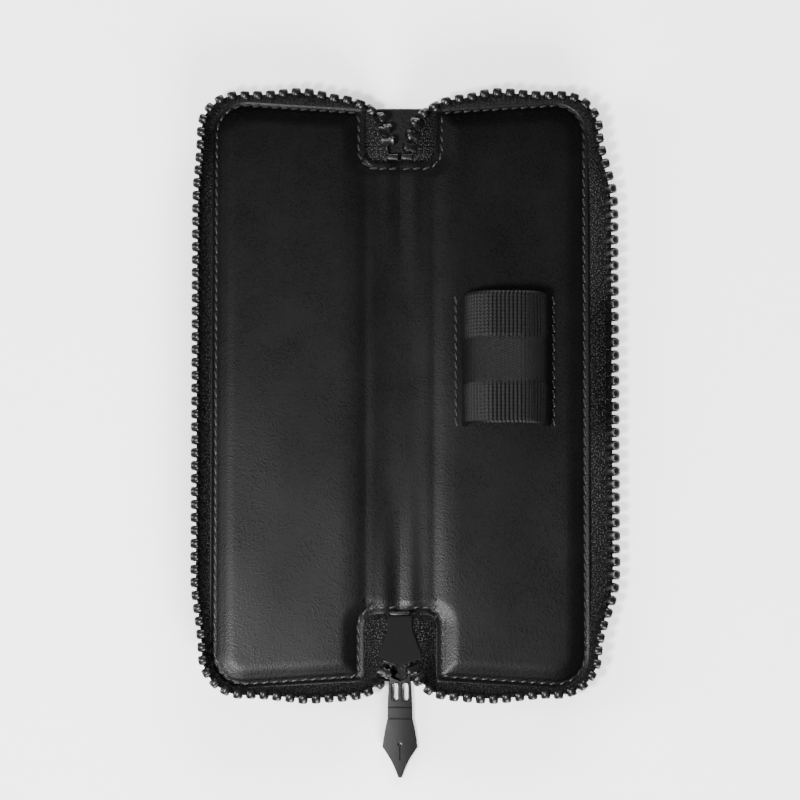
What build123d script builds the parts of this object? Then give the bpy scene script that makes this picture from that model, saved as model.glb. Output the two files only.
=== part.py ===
from build123d import *
from math import atan2, cos, degrees, radians, sin
import os

os.makedirs("parts", exist_ok=True)

# A zip-around leather case for one fountain pen, lying open like a book, in millimetres.
# +X points to the half with the pen loop, +Y to the end where the zip starts, +Z up.
# The origin is the middle of the spine's underside, which rests on the table.

# Overall shape of the lining, which sets everything else
half_width = 49.6
half_length_outer = 77.7
half_length_inner = 75.2
corner_radius = 9.5
inner_corner_radius = 2.0
fold_x = 9.0
fold_gap = 0.25
spine_end_setback = 0.6
notch_stop_depth = 14.8
notch_slider_depth = 17.8
notch_radius = 3.0

# Layers, from the table up
cover_thickness = 1.2
cover_margin = 0.9
cover_edge_chamfer = 0.4
board_thickness = 0.6
pad_thickness = 1.0
lining_thickness = 0.8
tape_thickness = 0.6
hinge_lift = 0.1
rise_inset = 4.5
fold_rise_inset = 3.4
fold_board_inset = 0.6
layer_clearance = 0.5
rise_chamfer = 0.5
stiffener_half_width = 7.2
stiffener_end_inset = 4.5

# Zip chain
tape_flange = 4.0
tape_edge_gap = 0.12
tape_start_x = 14.2
tooth_pitch = 3.33
tooth_width = 1.5
tooth_neck = 0.9
tooth_thickness = 2.2
tooth_back = 1.3
tooth_reach = 2.3
tooth_body = 1.1
closing_gap = 0.3
lean_right_side = 36.0
lean_left_side = 16.5
lean_stop_end = 8.0
lean_slider_end = 20.0
lean_corner = 4.0
lean_run = 22.0
section_step = 7.0
corner_step = 2.6

# Seams
seam_inset = 1.8
stitch_pitch = 2.5
stitch_length = 1.8
stitch_width = 0.45
stitch_height = 0.2

# Pen loop, an elastic band in two slits of the right lining
loop_from_fold = 7.1
loop_width = 22.1
loop_height = 13.5
loop_crown_radius = 8.0
loop_y = -8.9
loop_length = 34.0
loop_thickness = 1.0
loop_tab = 2.4
slit_clearance = 0.15
loop_seam_offset = 1.6

# Slider
slider_rear_gap = 0.6
slider_length = 12.8
slider_rear_half = 3.3
slider_shoulder_half = 5.65
slider_rear_run = 3.6
slider_shoulder_start = 9.8
slider_shoulder_run = 1.1
slider_corner = 0.6
plate_thickness = 1.0
cavity_height = 2.6
lip_thickness = 0.45
lip_height = 0.65
post_length = 2.0
post_half = 0.6
post_setback = 0.4
bridge_clearance = 0.4
bridge_strap = 0.7
bridge_half = 1.3
bridge_wall = 0.8
bridge_rear_foot = 2.2
bridge_window = 4.0

# Pull, shaped as a pen nib
pull_thickness = 1.2
pull_play = 0.35
pull_bar = 1.3
pull_eye_half = 1.95
pull_eye_length = 4.6
pull_eye_dip = 0.5
pull_neck_half = 2.85
pull_band_half = 3.2
pull_band_start = 12.6
pull_band_end = 15.5
pull_widest = 22.8
pull_widest_half = 4.55
pull_length = 30.7
pull_tip_half = 0.45
pull_slot_start = 5.9
pull_slot_length = 4.5
pull_slot_width = 1.6
pull_slot_offset = 1.3
groove_width = 0.25
groove_depth = 0.25
slit_start = 22.0
slit_length = 4.0
breather_radius = 0.4
pull_droop = 4.0

# Zip ends
stop_width = 3.1
stop_length = 1.4
stop_thickness = 2.0
stop_inner_gap = 0.3
bottom_stop_length = 1.0
bottom_stop_half = 2.7
part_gap = 0.3

# Levels worked out from the layers
seam_layer = max(board_thickness, tape_thickness)
margin_z = cover_thickness + seam_layer
margin_top = margin_z + lining_thickness
board_top = cover_thickness + seam_layer
raised_z = board_top + pad_thickness
raised_top = raised_z + lining_thickness
hinge_z = margin_top + hinge_lift
tape_z = cover_thickness + tape_thickness / 2
tape_stand = tape_edge_gap + tape_thickness / 2
wall_width = fold_x + hinge_z - tape_z - tooth_reach - closing_gap
leaf_inner_x = fold_x + fold_gap / 2
loop_x = fold_x + loop_from_fold
end_slope = (half_length_outer - half_length_inner) / (half_width - leaf_inner_x)
spine_end = half_length_inner - spine_end_setback
notch_stop_end = half_length_inner - notch_stop_depth
notch_slider_end = half_length_inner - notch_slider_depth


def leaf_outline(grow, fold_inset, inner_radius):
    """The lining's outline on the right half, grown outwards, and cut back at the fold."""
    inner_x = leaf_inner_x + fold_inset
    outer_x = half_width + grow
    y_in = half_length_inner + grow
    y_out = half_length_outer + grow
    corners = [(inner_x, -y_in), (outer_x, -y_out), (outer_x, y_out), (inner_x, y_in)]
    outline = make_face(Polyline(*corners, close=True))
    by_x = outline.vertices().sort_by(Axis.X)
    outline = fillet(by_x[-2:], corner_radius + grow)
    if inner_radius > 0:
        outline = fillet(outline.vertices().sort_by(Axis.X)[:2], inner_radius)
    return outline


def layer(outline, bottom, top):
    """A flat layer of the sandwich between two levels."""
    return extrude(Pos(0, 0, bottom) * outline, top - bottom)


def strip_outline(points, thickness):
    """The closed outline of a strip that follows a few points in its own plane."""
    left = []
    right = []
    last = len(points) - 1
    for index, (a, z) in enumerate(points):
        before = points[max(index - 1, 0)]
        after = points[min(index + 1, last)]
        arrive = atan2(z - before[1], a - before[0]) if index > 0 else None
        leave = atan2(after[1] - z, after[0] - a) if index < last else None
        arrive = leave if arrive is None else arrive
        leave = arrive if leave is None else leave
        middle = (arrive + leave) / 2
        reach = thickness / 2 / cos((leave - arrive) / 2)
        left.append((a - reach * sin(middle), z + reach * cos(middle)))
        right.append((a + reach * sin(middle), z - reach * cos(middle)))
    return left + right[::-1]


def upright_section(base, heading, outline):
    """A face in the upright plane through base, with outline given as (outwards, up)."""
    corners = [(base.X + a * heading.X, base.Y + a * heading.Y, z) for a, z in outline]
    return make_face(Polyline(*corners, close=True))


def tape_solid(sections):
    """A woven tape through its upright sections."""
    return loft(sections, ruled=True)


def tooth():
    """One moulded tooth: X along the chain, Y from tape to tip, Z through its thickness."""
    half = tooth_width / 2
    neck = tooth_neck / 2
    head_start = tooth_reach - 1.1
    side = [
        (half, -tooth_back),
        (half, tooth_body - 0.3),
        (neck, tooth_body),
        (neck, head_start),
        (half * 0.95, head_start + 0.35),
        (half * 0.8, tooth_reach - 0.2),
        (half * 0.4, tooth_reach),
    ]
    mirrored = [(-x, y) for x, y in side[::-1]]
    profile = make_face(Polyline(*side, *mirrored, close=True))
    return extrude(Pos(0, 0, -tooth_thickness / 2) * profile, tooth_thickness)


def line_length(points):
    return sum((points[i + 1] - points[i]).length for i in range(len(points) - 1))


def spaced(points, pitch, offset, room):
    """Places every pitch along a polyline, up to some room at its end: (segment, share)."""
    places = []
    travelled = 0
    target = offset
    limit = line_length(points) - room
    for index in range(len(points) - 1):
        run = (points[index + 1] - points[index]).length
        while target <= min(travelled + run, limit):
            places.append((index, (target - travelled) / run))
            target += pitch
        travelled += run
    return places


def between(a, b, share):
    return a + (b - a) * share


def chain_teeth(tops, bases, offset, room):
    """Teeth along the tape's edge, each square to the chain and in line with the tape."""
    pattern = tooth()
    teeth = []
    last = len(tops) - 1
    runs = [(tops[min(i + 1, last)] - tops[max(i - 1, 0)]).normalized() for i in range(last + 1)]
    for index, share in spaced(tops, tooth_pitch, offset, room):
        top = between(tops[index], tops[index + 1], share)
        base = between(bases[index], bases[index + 1], share)
        along = between(runs[index], runs[index + 1], share).normalized()
        rise = top - base
        rise = (rise - along * rise.dot(along)).normalized()
        teeth.append(Plane(origin=top, x_dir=along, z_dir=along.cross(rise)) * pattern)
    return Compound(children=teeth)


def leaf_stations(side_lean):
    """Base point, heading outwards and lean at each section of a leaf's tape, from -Y to +Y."""
    start_y = half_length_inner + (tape_start_x - leaf_inner_x) * end_slope
    path = FilletPolyline(
        (tape_start_x, -start_y),
        (half_width, -half_length_outer),
        (half_width, half_length_outer),
        (tape_start_x, start_y),
        radius=corner_radius,
    )
    straight_leans = [lean_slider_end, lean_corner, side_lean, lean_corner, lean_stop_end]
    stations = []
    for number, edge in enumerate(path.edges()):
        straight = number % 2 == 0
        steps = max(2, round(edge.length / (section_step if straight else corner_step)))
        first = 0 if number == 0 else 1
        for step in range(first, steps + 1):
            share = step / steps
            base = edge @ share
            along = edge % share
            from_corner = share * edge.length
            if number == 0:
                from_corner = edge.length - from_corner
            if number == 2:
                from_corner = min(from_corner, edge.length - from_corner)
            ease = min(from_corner / lean_run, 1) if straight else 0
            ease = ease * ease * (3 - 2 * ease)
            lean = lean_corner + (straight_leans[number] - lean_corner) * ease
            stations.append((base, Vector(along.Y, -along.X, 0), radians(lean)))
    return stations


def wall_points(lean):
    """The tape's line on a leaf: flat in the seam, then up to the chain at its lean."""
    top = (tape_stand + wall_width * sin(lean), tape_z + wall_width * cos(lean))
    return [(-tape_flange, tape_z), (tape_stand, tape_z), top]


def leaf_zip(side_lean, offset):
    """A leaf's tape and its teeth, on the right-hand side."""
    sections = []
    tops = []
    bases = []
    for base, heading, lean in leaf_stations(side_lean):
        points = wall_points(lean)
        sections.append(upright_section(base, heading, strip_outline(points, tape_thickness)))
        foot, top = points[1], points[2]
        bases.append(Vector(base.X + foot[0] * heading.X, base.Y + foot[0] * heading.Y, foot[1]))
        tops.append(Vector(base.X + top[0] * heading.X, base.Y + top[0] * heading.Y, top[1]))
    return tape_solid(sections), chain_teeth(tops, bases, offset, tooth_width)


def stitches(path, level):
    """Thread lying on the leather along a path, one short bar for each stitch."""
    bars = []
    for edge in path.edges():
        count = max(1, round(edge.length / stitch_pitch))
        for number in range(count):
            share = (number + 0.5) / count
            along = edge % share
            turn = degrees(atan2(along.Y, along.X))
            bar = Box(stitch_length, stitch_width, stitch_height)
            centre = edge @ share
            height = level + stitch_height / 2
            bars.append(Pos(centre.X, centre.Y, height) * Rot(0, 0, turn) * bar)
    return Compound(children=bars)


def bottom_chamfer(solid, size):
    """Skived lower edge of the cover."""
    return chamfer(solid.faces().sort_by(Axis.Z)[0].edges(), size)


# ------------------------------------------------------------ the two leaves

# Outer leather of one leaf, a little larger than the lining all round
cover_flat = layer(leaf_outline(cover_margin, 0, 0), 0, cover_thickness)
leaf_cover = bottom_chamfer(cover_flat, cover_edge_chamfer)

# Stiffening board, inside the tape's flange
board_inset = tape_flange + layer_clearance
leaf_board = layer(leaf_outline(-board_inset, fold_board_inset, 0), cover_thickness, board_top)

# Foam pad on the board
pad_inset = rise_inset + lining_thickness
pad_fold_inset = fold_rise_inset + lining_thickness
pad_flat = layer(leaf_outline(-pad_inset, pad_fold_inset, 0), board_top, raised_z)

# Lining, sewn flat at its margin and raised over the pad
lining_margin = layer(leaf_outline(0, 0, inner_corner_radius), margin_z, margin_top)
raised_outline = leaf_outline(-rise_inset, fold_rise_inset, 0)
raised_block = layer(raised_outline, margin_z, raised_top)
raised_block = chamfer(raised_block.faces().sort_by(Axis.Z)[-1].edges(), rise_chamfer)
pad_room = layer(leaf_outline(-pad_inset, pad_fold_inset, 0), 0, raised_z)
leaf_lining = lining_margin + raised_block - pad_room

# Seam round a leaf, from one notch side round the edge to the other
seam_x = leaf_inner_x + seam_inset
seam_path = FilletPolyline(
    (seam_x, -notch_slider_end + seam_inset),
    (seam_x, -half_length_inner + seam_inset),
    (half_width - seam_inset, -half_length_outer + seam_inset),
    (half_width - seam_inset, half_length_outer - seam_inset),
    (seam_x, half_length_inner - seam_inset),
    (seam_x, notch_stop_end - seam_inset),
    radius=[inner_corner_radius] + [corner_radius - seam_inset] * 2 + [inner_corner_radius],
)
seam_level = margin_top
leaf_thread = stitches(seam_path, seam_level)

right_tape, right_teeth = leaf_zip(lean_right_side, tooth_width)
left_tape, left_teeth = leaf_zip(lean_left_side, tooth_width + tooth_pitch / 2)


def to_left(shape):
    return mirror(shape, about=Plane.YZ)


# ------------------------------------------------------------ the pen loop

loop_middle_y = loop_y + loop_length / 2
loop_middle_x = loop_x + loop_width / 2
tab_thickness = min(loop_thickness, pad_thickness)
band_bottom = board_top


def arch(inset):
    """Side view of the band's arch, between X and Z, shrunk by inset."""
    left = loop_x + inset
    right = loop_x + loop_width - inset
    top = raised_top + loop_height - inset
    corners = [(left, band_bottom), (left, top), (right, top), (right, band_bottom)]
    face = make_face(Polyline(*corners, close=True))
    return fillet(face.vertices().sort_by(Axis.Y)[-2:], loop_crown_radius - inset)


def along_y(face, start, length):
    """Extrudes a face drawn in X and Z along +Y."""
    return extrude(Plane(origin=(0, start, 0), x_dir=(1, 0, 0), z_dir=(0, -1, 0)) * face, -length)


band_outside = along_y(arch(0), loop_y, loop_length)
band_arch = band_outside - along_y(arch(loop_thickness), loop_y, loop_length)
tab_size = loop_tab + loop_thickness
tab_z = band_bottom + tab_thickness / 2
tab_box = Box(tab_size, loop_length, tab_thickness)
left_tab_x = loop_x + loop_thickness - tab_size / 2
right_tab_x = loop_x + loop_width - loop_thickness + tab_size / 2
pen_loop = band_arch + Pos(left_tab_x, loop_middle_y, tab_z) * tab_box
pen_loop = pen_loop + Pos(right_tab_x, loop_middle_y, tab_z) * tab_box

# Slits in the lining and room for the tabs in the pad
slit_width = loop_thickness + 2 * slit_clearance
slit_box = Box(slit_width, loop_length + 2 * slit_clearance, 4 * raised_top)
slit_left = Pos(loop_x + loop_thickness / 2, loop_middle_y, 0) * slit_box
slit_right = Pos(loop_x + loop_width - loop_thickness / 2, loop_middle_y, 0) * slit_box
right_lining = leaf_lining - slit_left - slit_right
tab_room = Box(tab_size + 2 * slit_clearance, loop_length + 2 * slit_clearance, 4 * raised_top)
right_pad = pad_flat - Pos(left_tab_x, loop_middle_y, 0) * tab_room
right_pad = right_pad - Pos(right_tab_x, loop_middle_y, 0) * tab_room

loop_seams = []
for seam_at in (loop_x - loop_seam_offset, loop_x + loop_width + loop_seam_offset):
    line = Line((seam_at, loop_y, 0), (seam_at, loop_y + loop_length, 0))
    loop_seams.append(stitches(line, raised_top))
pen_loop_thread = Compound(children=loop_seams)

# ------------------------------------------------------------ the spine

spine_half = fold_x - fold_gap / 2
spine_cover_size = Box(2 * spine_half, 2 * spine_end, cover_thickness)
spine_cover_flat = Pos(0, 0, cover_thickness / 2) * spine_cover_size
spine_ends = spine_cover_flat.faces().sort_by(Axis.Z)[0].edges().filter_by(Axis.X)
spine_cover = chamfer(spine_ends, cover_edge_chamfer)

# Lining of the spine, with an inside corner at each notch
lining_reach = notch_stop_end + notch_slider_end
lining_middle = (notch_stop_end - notch_slider_end) / 2
spine_lining_face = Pos(0, lining_middle) * Rectangle(2 * spine_half, lining_reach)
for end_y, way in ((notch_stop_end, 1), (-notch_slider_end, -1)):
    for side in (-1, 1):
        square = Pos(side * (fold_x - notch_radius / 2), end_y + way * notch_radius / 2)
        web = square * Rectangle(notch_radius, notch_radius)
        round_at = Pos(side * (fold_x - notch_radius), end_y + way * notch_radius)
        web = web - round_at * Circle(notch_radius)
        limit = Rectangle(2 * spine_half, 4 * half_length_outer)
        spine_lining_face = spine_lining_face + (web & limit)
spine_lining = layer(spine_lining_face, margin_z, margin_top)

stiffener_length = lining_reach - 2 * stiffener_end_inset
stiffener_size = Box(2 * stiffener_half_width, stiffener_length, seam_layer)
spine_stiffener = Pos(0, lining_middle, cover_thickness + seam_layer / 2) * stiffener_size

# Seam across each notch
spine_seams = []
for seam_y in (notch_stop_end - seam_inset, -notch_slider_end + seam_inset):
    line = Line((-spine_half + seam_inset, seam_y, 0), (spine_half - seam_inset, seam_y, 0))
    spine_seams.append(stitches(line, margin_top))
spine_seam_thread = Compound(children=spine_seams)

# ------------------------------------------------------------ the slider

slider_rear_y = -notch_slider_end - slider_rear_gap
slider_front_y = slider_rear_y - slider_length
pull_room = pull_thickness + 2 * pull_play
lower_plate_z = cover_thickness + bridge_clearance + bridge_strap + pull_room
cavity_z = lower_plate_z + plate_thickness
cavity_mid = cavity_z + cavity_height / 2
upper_plate_z = cavity_z + cavity_height
slider_top = upper_plate_z + plate_thickness


def slider_plan(shrink, extend):
    """Plan of the slider, narrow at the rear and wide at its shoulders."""
    rear = slider_rear_y + extend
    shoulder = slider_rear_y - slider_shoulder_start
    mouth = shoulder - slider_shoulder_run
    half = [
        (slider_rear_half - shrink, rear),
        (slider_rear_half - shrink, slider_rear_y - slider_rear_run),
        (slider_shoulder_half - shrink, shoulder),
        (slider_shoulder_half - shrink, mouth - extend),
        (0, slider_front_y - extend),
    ]
    mirrored = [(-x, y) for x, y in half[-2::-1]]
    return make_face(Polyline(*half, *mirrored, close=True))


plan = slider_plan(0, 0)
plate_face = fillet(plan.vertices().filter_by(lambda v: abs(v.X) > 1), slider_corner)
lower_plate = layer(plate_face, lower_plate_z, cavity_z)
upper_plate = layer(plate_face, upper_plate_z, slider_top)
lip_face = plan - slider_plan(lip_thickness, 1.0)
lower_lips = layer(lip_face, cavity_z, cavity_z + lip_height)
upper_lips = layer(lip_face, upper_plate_z - lip_height, upper_plate_z)
post_front = slider_front_y + post_setback
post_corners = [
    (0, post_front),
    (post_half, post_front + post_length * 0.3),
    (post_half * 0.6, post_front + post_length * 0.75),
    (0, post_front + post_length),
    (-post_half * 0.6, post_front + post_length * 0.75),
    (-post_half, post_front + post_length * 0.3),
]
post = layer(make_face(Polyline(*post_corners, close=True)), cavity_z, upper_plate_z)
slider_body = lower_plate + upper_plate + lower_lips + upper_lips + post

# Bridge under the lower plate, which holds the pull's bar
pull_axis_y = slider_front_y + bridge_wall + pull_bar / 2 + pull_play + 0.3
pull_axis_z = cover_thickness + bridge_clearance + bridge_strap + pull_room / 2
bridge_bottom = cover_thickness + bridge_clearance
window_front = pull_axis_y - pull_bar / 2 - pull_play
window_rear = window_front + bridge_window
bridge_front = window_front - bridge_wall
bridge_rear = window_rear + bridge_rear_foot
bridge_side = [
    (bridge_front, lower_plate_z),
    (bridge_front, bridge_bottom + bridge_strap),
    (bridge_front + bridge_strap, bridge_bottom),
    (window_rear, bridge_bottom),
    (bridge_rear, lower_plate_z),
]
bridge_corners = [(0, y, z) for y, z in bridge_side]
bridge_face = Pos(-bridge_half, 0, 0) * make_face(Polyline(*bridge_corners, close=True))
bridge_block = extrude(bridge_face, 2 * bridge_half, dir=(1, 0, 0))
window_size = Box(4 * bridge_half, bridge_window, pull_room)
bridge_hole = Pos(0, window_front + bridge_window / 2, pull_axis_z) * window_size
slider_bridge = bridge_block - bridge_hole

# ------------------------------------------------------------ the pull

neck_end = (pull_neck_half, -pull_slot_start)
shoulder_mid = (pull_band_half + 0.45, -(pull_band_end + pull_widest) / 2)
widest_point = (pull_widest_half, -pull_widest)
taper_mid = (pull_widest_half * 0.47, -(pull_widest + pull_length) / 2)
tip_point = (pull_tip_half, -pull_length)
right_edge = [
    Line((0, pull_bar / 2), (pull_neck_half, pull_bar / 2)),
    Line((pull_neck_half, pull_bar / 2), neck_end),
    Line(neck_end, (pull_band_half, -pull_band_start)),
    Line((pull_band_half, -pull_band_start), (pull_band_half, -pull_band_end)),
    ThreePointArc((pull_band_half, -pull_band_end), shoulder_mid, widest_point),
    ThreePointArc(widest_point, taper_mid, tip_point),
    Line(tip_point, (0, -pull_length)),
]
left_edge = [mirror(edge, about=Plane.YZ) for edge in right_edge]
nib_face = make_face(right_edge + left_edge)
eye_end = pull_bar / 2 + pull_eye_length
eye_corners = [
    (pull_eye_half, -pull_bar / 2),
    (pull_eye_half, -eye_end + 0.3),
    (pull_eye_half / 2, -eye_end),
    (0, -eye_end - pull_eye_dip),
    (-pull_eye_half / 2, -eye_end),
    (-pull_eye_half, -eye_end + 0.3),
    (-pull_eye_half, -pull_bar / 2),
]
nib_face = nib_face - make_face(Polyline(*eye_corners, close=True))
slot_y = -pull_slot_start - pull_slot_length / 2 - pull_eye_dip
for side in (-1, 1):
    slot = SlotOverall(pull_slot_length, pull_slot_width, rotation=90)
    nib_face = nib_face - Pos(side * pull_slot_offset, slot_y) * slot
nib_plate = extrude(Pos(0, 0, -pull_thickness / 2) * nib_face, pull_thickness)

# Two lines round the band, and the slit with its breather hole
groove_z = pull_thickness / 2 - groove_depth / 2
for line_y in (-pull_band_start, -pull_band_end):
    groove = Box(4 * pull_widest_half, groove_width, groove_depth)
    nib_plate = nib_plate - Pos(0, line_y, groove_z) * groove
slit = Box(groove_width, slit_length, groove_depth)
nib_plate = nib_plate - Pos(0, -slit_start - slit_length / 2, groove_z) * slit
nib_plate = nib_plate - Pos(0, -slit_start, 0) * Cylinder(breather_radius, 4 * pull_thickness)
zip_pull = Pos(0, pull_axis_y, pull_axis_z) * Rot(pull_droop, 0, 0) * nib_plate

# ------------------------------------------------------------ the zip's two ends in the notches

joint_x = tape_start_x - part_gap
joint_y = half_length_inner + (joint_x - leaf_inner_x) * end_slope
side_x = spine_half - tape_thickness / 2 - 0.05


def edge_top(lean):
    """Where the chain stands at the start of a notch: (outwards, up)."""
    return wall_points(radians(lean))[2]


def notch_stations(rows):
    """Sections and lines of a tape end, from rows of (base, knee or none for straight, top)."""
    sections = []
    tops = []
    bases = []
    for base, knee, top in rows:
        flat = Vector(top[0] - base[0], top[1] - base[1], 0)
        heading = flat.normalized()
        knee = knee or (flat.length / 2, (base[2] + top[2]) / 2)
        points = [(0, base[2]), knee, (flat.length, top[2])]
        foot = Vector(base[0] + knee[0] * heading.X, base[1] + knee[0] * heading.Y, knee[1])
        outline = strip_outline(points, tape_thickness)
        sections.append(upright_section(Vector(*base), heading, outline))
        tops.append(Vector(*top))
        bases.append(foot)
    return sections, tops, bases


lift = cover_thickness + part_gap + 0.1
corner_out = tape_stand + 0.2
low = cover_thickness + tape_thickness / 2 + 0.02


def notch_lead(lean):
    """From the leaf's edge round the corner of the notch."""
    out, up = edge_top(lean)
    start = (joint_x, joint_y + tape_stand, lift)
    start_top = (joint_x, joint_y + out, up)
    second = (joint_x - 2.6, half_length_inner + corner_out, lift)
    second_top = (joint_x - 2.9, half_length_inner + out + 0.1, up - 0.35)
    third = (leaf_inner_x + 0.9, half_length_inner + corner_out - 0.1, lift)
    third_top = (fold_x - 0.6, half_length_inner + out - 0.8, up - 1.0)
    return [(start, None, start_top), (second, None, second_top), (third, None, third_top)]


# At the slider, the tape runs level through the slider's side slots
flat_reach = side_x - slider_shoulder_half - 2 * part_gap
tail_gap = 0.8
mouth_y = -slider_front_y
slider_rows = notch_lead(lean_slider_end)
slider_tops = [
    (6.6, mouth_y + 5.0, cavity_mid + 0.9),
    (4.7, mouth_y + 2.2, cavity_mid + 0.3),
    (3.3, mouth_y - 0.6, cavity_mid),
    (2.75, mouth_y - 2.6, cavity_mid),
    (2.0, mouth_y - 4.8, cavity_mid),
    (1.45, mouth_y - 7.0, cavity_mid),
    (1.4, mouth_y - slider_length + tail_gap, cavity_mid),
]
slider_rows.append(((side_x, mouth_y + 4.0, low), (flat_reach * 0.5, cavity_mid - 0.4), slider_tops[0]))
for top in slider_tops[1:]:
    slider_rows.append(((side_x, top[1], low), (flat_reach, cavity_mid), top))

# At the stop end, the two chains lie lower and meet at their stops
stop_y = notch_stop_end + part_gap + stop_length
stop_rows = notch_lead(lean_stop_end)
stop_tops = [
    (7.0, stop_y + 14.0, 6.6),
    (5.3, stop_y + 11.4, 5.6),
    (4.2, stop_y + 8.2, 4.8),
    (3.5, stop_y + 4.8, 4.1),
    (3.0, stop_y + 1.4, 3.6),
    (2.9, stop_y - 0.3, 3.5),
]
stop_rows.append(((side_x, stop_y + 12.2, low), None, stop_tops[0]))
for top in stop_tops[1:]:
    stop_rows.append(((side_x, top[1], low), (tape_thickness, margin_top + part_gap), top))


def zip_end(rows, way, offset, room):
    """Tape and teeth of one chain in a notch, on the right, at +Y or -Y."""
    sections, tops, bases = notch_stations(rows)
    tape = tape_solid(sections)
    teeth = chain_teeth(tops, bases, offset, room)
    if way < 0:
        tape = mirror(tape, about=Plane.XZ)
        teeth = mirror(teeth, about=Plane.XZ)
    return tape, teeth


first_right = tooth_width * 0.75
first_left = first_right + tooth_pitch / 2
slider_tape, slider_teeth_right = zip_end(slider_rows, -1, first_right, tooth_width / 2)
slider_teeth_left = zip_end(slider_rows, -1, first_left, tooth_width / 2)[1]
stop_room = stop_length + tooth_width
stop_tape, stop_teeth_right = zip_end(stop_rows, 1, first_right, stop_room)
stop_teeth_left = zip_end(stop_rows, 1, first_left, stop_room)[1]

# Stops: one on each chain at the start, and one across both behind the slider
stop_block = Box(stop_width, stop_length, stop_thickness)
stop_x = stop_inner_gap + stop_width / 2
chain_stop_right = Pos(stop_x, notch_stop_end + part_gap + stop_length / 2, 3.5) * stop_block
chain_stop_right = fillet(chain_stop_right.edges().filter_by(Axis.Y), 0.4)
bottom_stop_y = slider_rear_y + 0.1 + bottom_stop_length / 2
bottom_block = Box(2 * bottom_stop_half, bottom_stop_length, cavity_height)
bottom_stop = Pos(0, bottom_stop_y, cavity_mid) * bottom_block
bottom_stop = fillet(bottom_stop.edges().filter_by(Axis.Y), 0.5)

# ------------------------------------------------------------ export

nodes = {
    "spine_cover": spine_cover,
    "spine_stiffener": spine_stiffener,
    "spine_lining": spine_lining,
    "spine_seam_thread": spine_seam_thread,
    "slider_end_tape_right": slider_tape,
    "slider_end_tape_left": to_left(slider_tape),
    "slider_end_teeth_right": slider_teeth_right,
    "slider_end_teeth_left": to_left(slider_teeth_left),
    "stop_end_tape_right": stop_tape,
    "stop_end_tape_left": to_left(stop_tape),
    "stop_end_teeth_right": stop_teeth_right,
    "stop_end_teeth_left": to_left(stop_teeth_left),
    "chain_stop_right": chain_stop_right,
    "chain_stop_left": to_left(chain_stop_right),
    "bottom_stop": bottom_stop,
    "slider_body": slider_body,
    "slider_bridge": slider_bridge,
    "zip_pull": zip_pull,
    "right_cover": leaf_cover,
    "right_board": leaf_board,
    "right_pad": right_pad,
    "right_lining": right_lining,
    "right_seam_thread": leaf_thread,
    "right_zip_tape": right_tape,
    "right_teeth": right_teeth,
    "pen_loop": pen_loop,
    "pen_loop_thread": pen_loop_thread,
    "left_cover": to_left(leaf_cover),
    "left_board": to_left(leaf_board),
    "left_pad": to_left(pad_flat),
    "left_lining": to_left(leaf_lining),
    "left_seam_thread": to_left(leaf_thread),
    "left_zip_tape": to_left(left_tape),
    "left_teeth": to_left(left_teeth),
}
for name, shape in nodes.items():
    export_step(shape, f"parts/{name}.step")
print("hinge height", hinge_z, "wall width", round(wall_width, 3))
print("pull axis", round(pull_axis_y, 3), round(pull_axis_z, 3), "slider top", slider_top)
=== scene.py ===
import math

import bpy
import numpy as np
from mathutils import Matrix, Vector
from mathutils.geometry import tessellate_polygon


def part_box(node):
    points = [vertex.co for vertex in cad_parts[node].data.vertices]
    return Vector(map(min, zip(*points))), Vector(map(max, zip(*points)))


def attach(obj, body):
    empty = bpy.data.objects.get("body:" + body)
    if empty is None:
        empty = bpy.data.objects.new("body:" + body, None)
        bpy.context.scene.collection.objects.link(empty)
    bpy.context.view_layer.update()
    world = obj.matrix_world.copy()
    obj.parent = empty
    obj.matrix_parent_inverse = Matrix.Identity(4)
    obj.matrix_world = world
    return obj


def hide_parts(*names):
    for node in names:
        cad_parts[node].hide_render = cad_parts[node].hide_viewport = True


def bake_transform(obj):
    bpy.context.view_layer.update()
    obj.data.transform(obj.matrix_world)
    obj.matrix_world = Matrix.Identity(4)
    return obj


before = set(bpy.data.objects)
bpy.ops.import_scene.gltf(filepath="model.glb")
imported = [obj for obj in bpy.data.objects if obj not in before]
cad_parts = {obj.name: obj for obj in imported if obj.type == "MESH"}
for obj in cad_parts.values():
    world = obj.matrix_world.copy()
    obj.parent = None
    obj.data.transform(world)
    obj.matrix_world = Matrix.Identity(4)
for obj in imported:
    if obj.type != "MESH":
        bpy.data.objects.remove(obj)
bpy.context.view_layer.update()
MM = 0.001


# ---------------------------------------------------------------- camera, light and table
# The open case lies on a pale table and is seen from almost straight above, from the
# side of the zip pull. A large soft box at the left end lights the leather at a slant.
VIEW_DISTANCE = 1.0
VIEW_TILT = 5.0
VIEW_WIDTH = 0.2078
VIEW_CENTRE = Vector((0.0, -0.0017, 0.0))
SENSOR = 36.0

camera_data = bpy.data.cameras.new("camera")
camera_data.sensor_width = SENSOR
camera_data.lens = SENSOR * VIEW_DISTANCE / VIEW_WIDTH
camera = bpy.data.objects.new("camera", camera_data)
bpy.context.scene.collection.objects.link(camera)
tilt = math.radians(VIEW_TILT)
camera.location = VIEW_CENTRE + Vector((0, -math.sin(tilt), math.cos(tilt))) * VIEW_DISTANCE
camera.rotation_euler = (tilt, 0, 0)
bpy.context.scene.camera = camera


def soft_box(name, place, aim, size, power):
    """A rectangular soft light at a place, facing a point."""
    data = bpy.data.lights.new(name, "AREA")
    data.shape = "RECTANGLE"
    data.size, data.size_y = size
    data.energy = power
    lamp = bpy.data.objects.new(name, data)
    lamp.location = place
    lamp.rotation_euler = (Vector(aim) - Vector(place)).to_track_quat("-Z", "Y").to_euler()
    bpy.context.scene.collection.objects.link(lamp)


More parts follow.
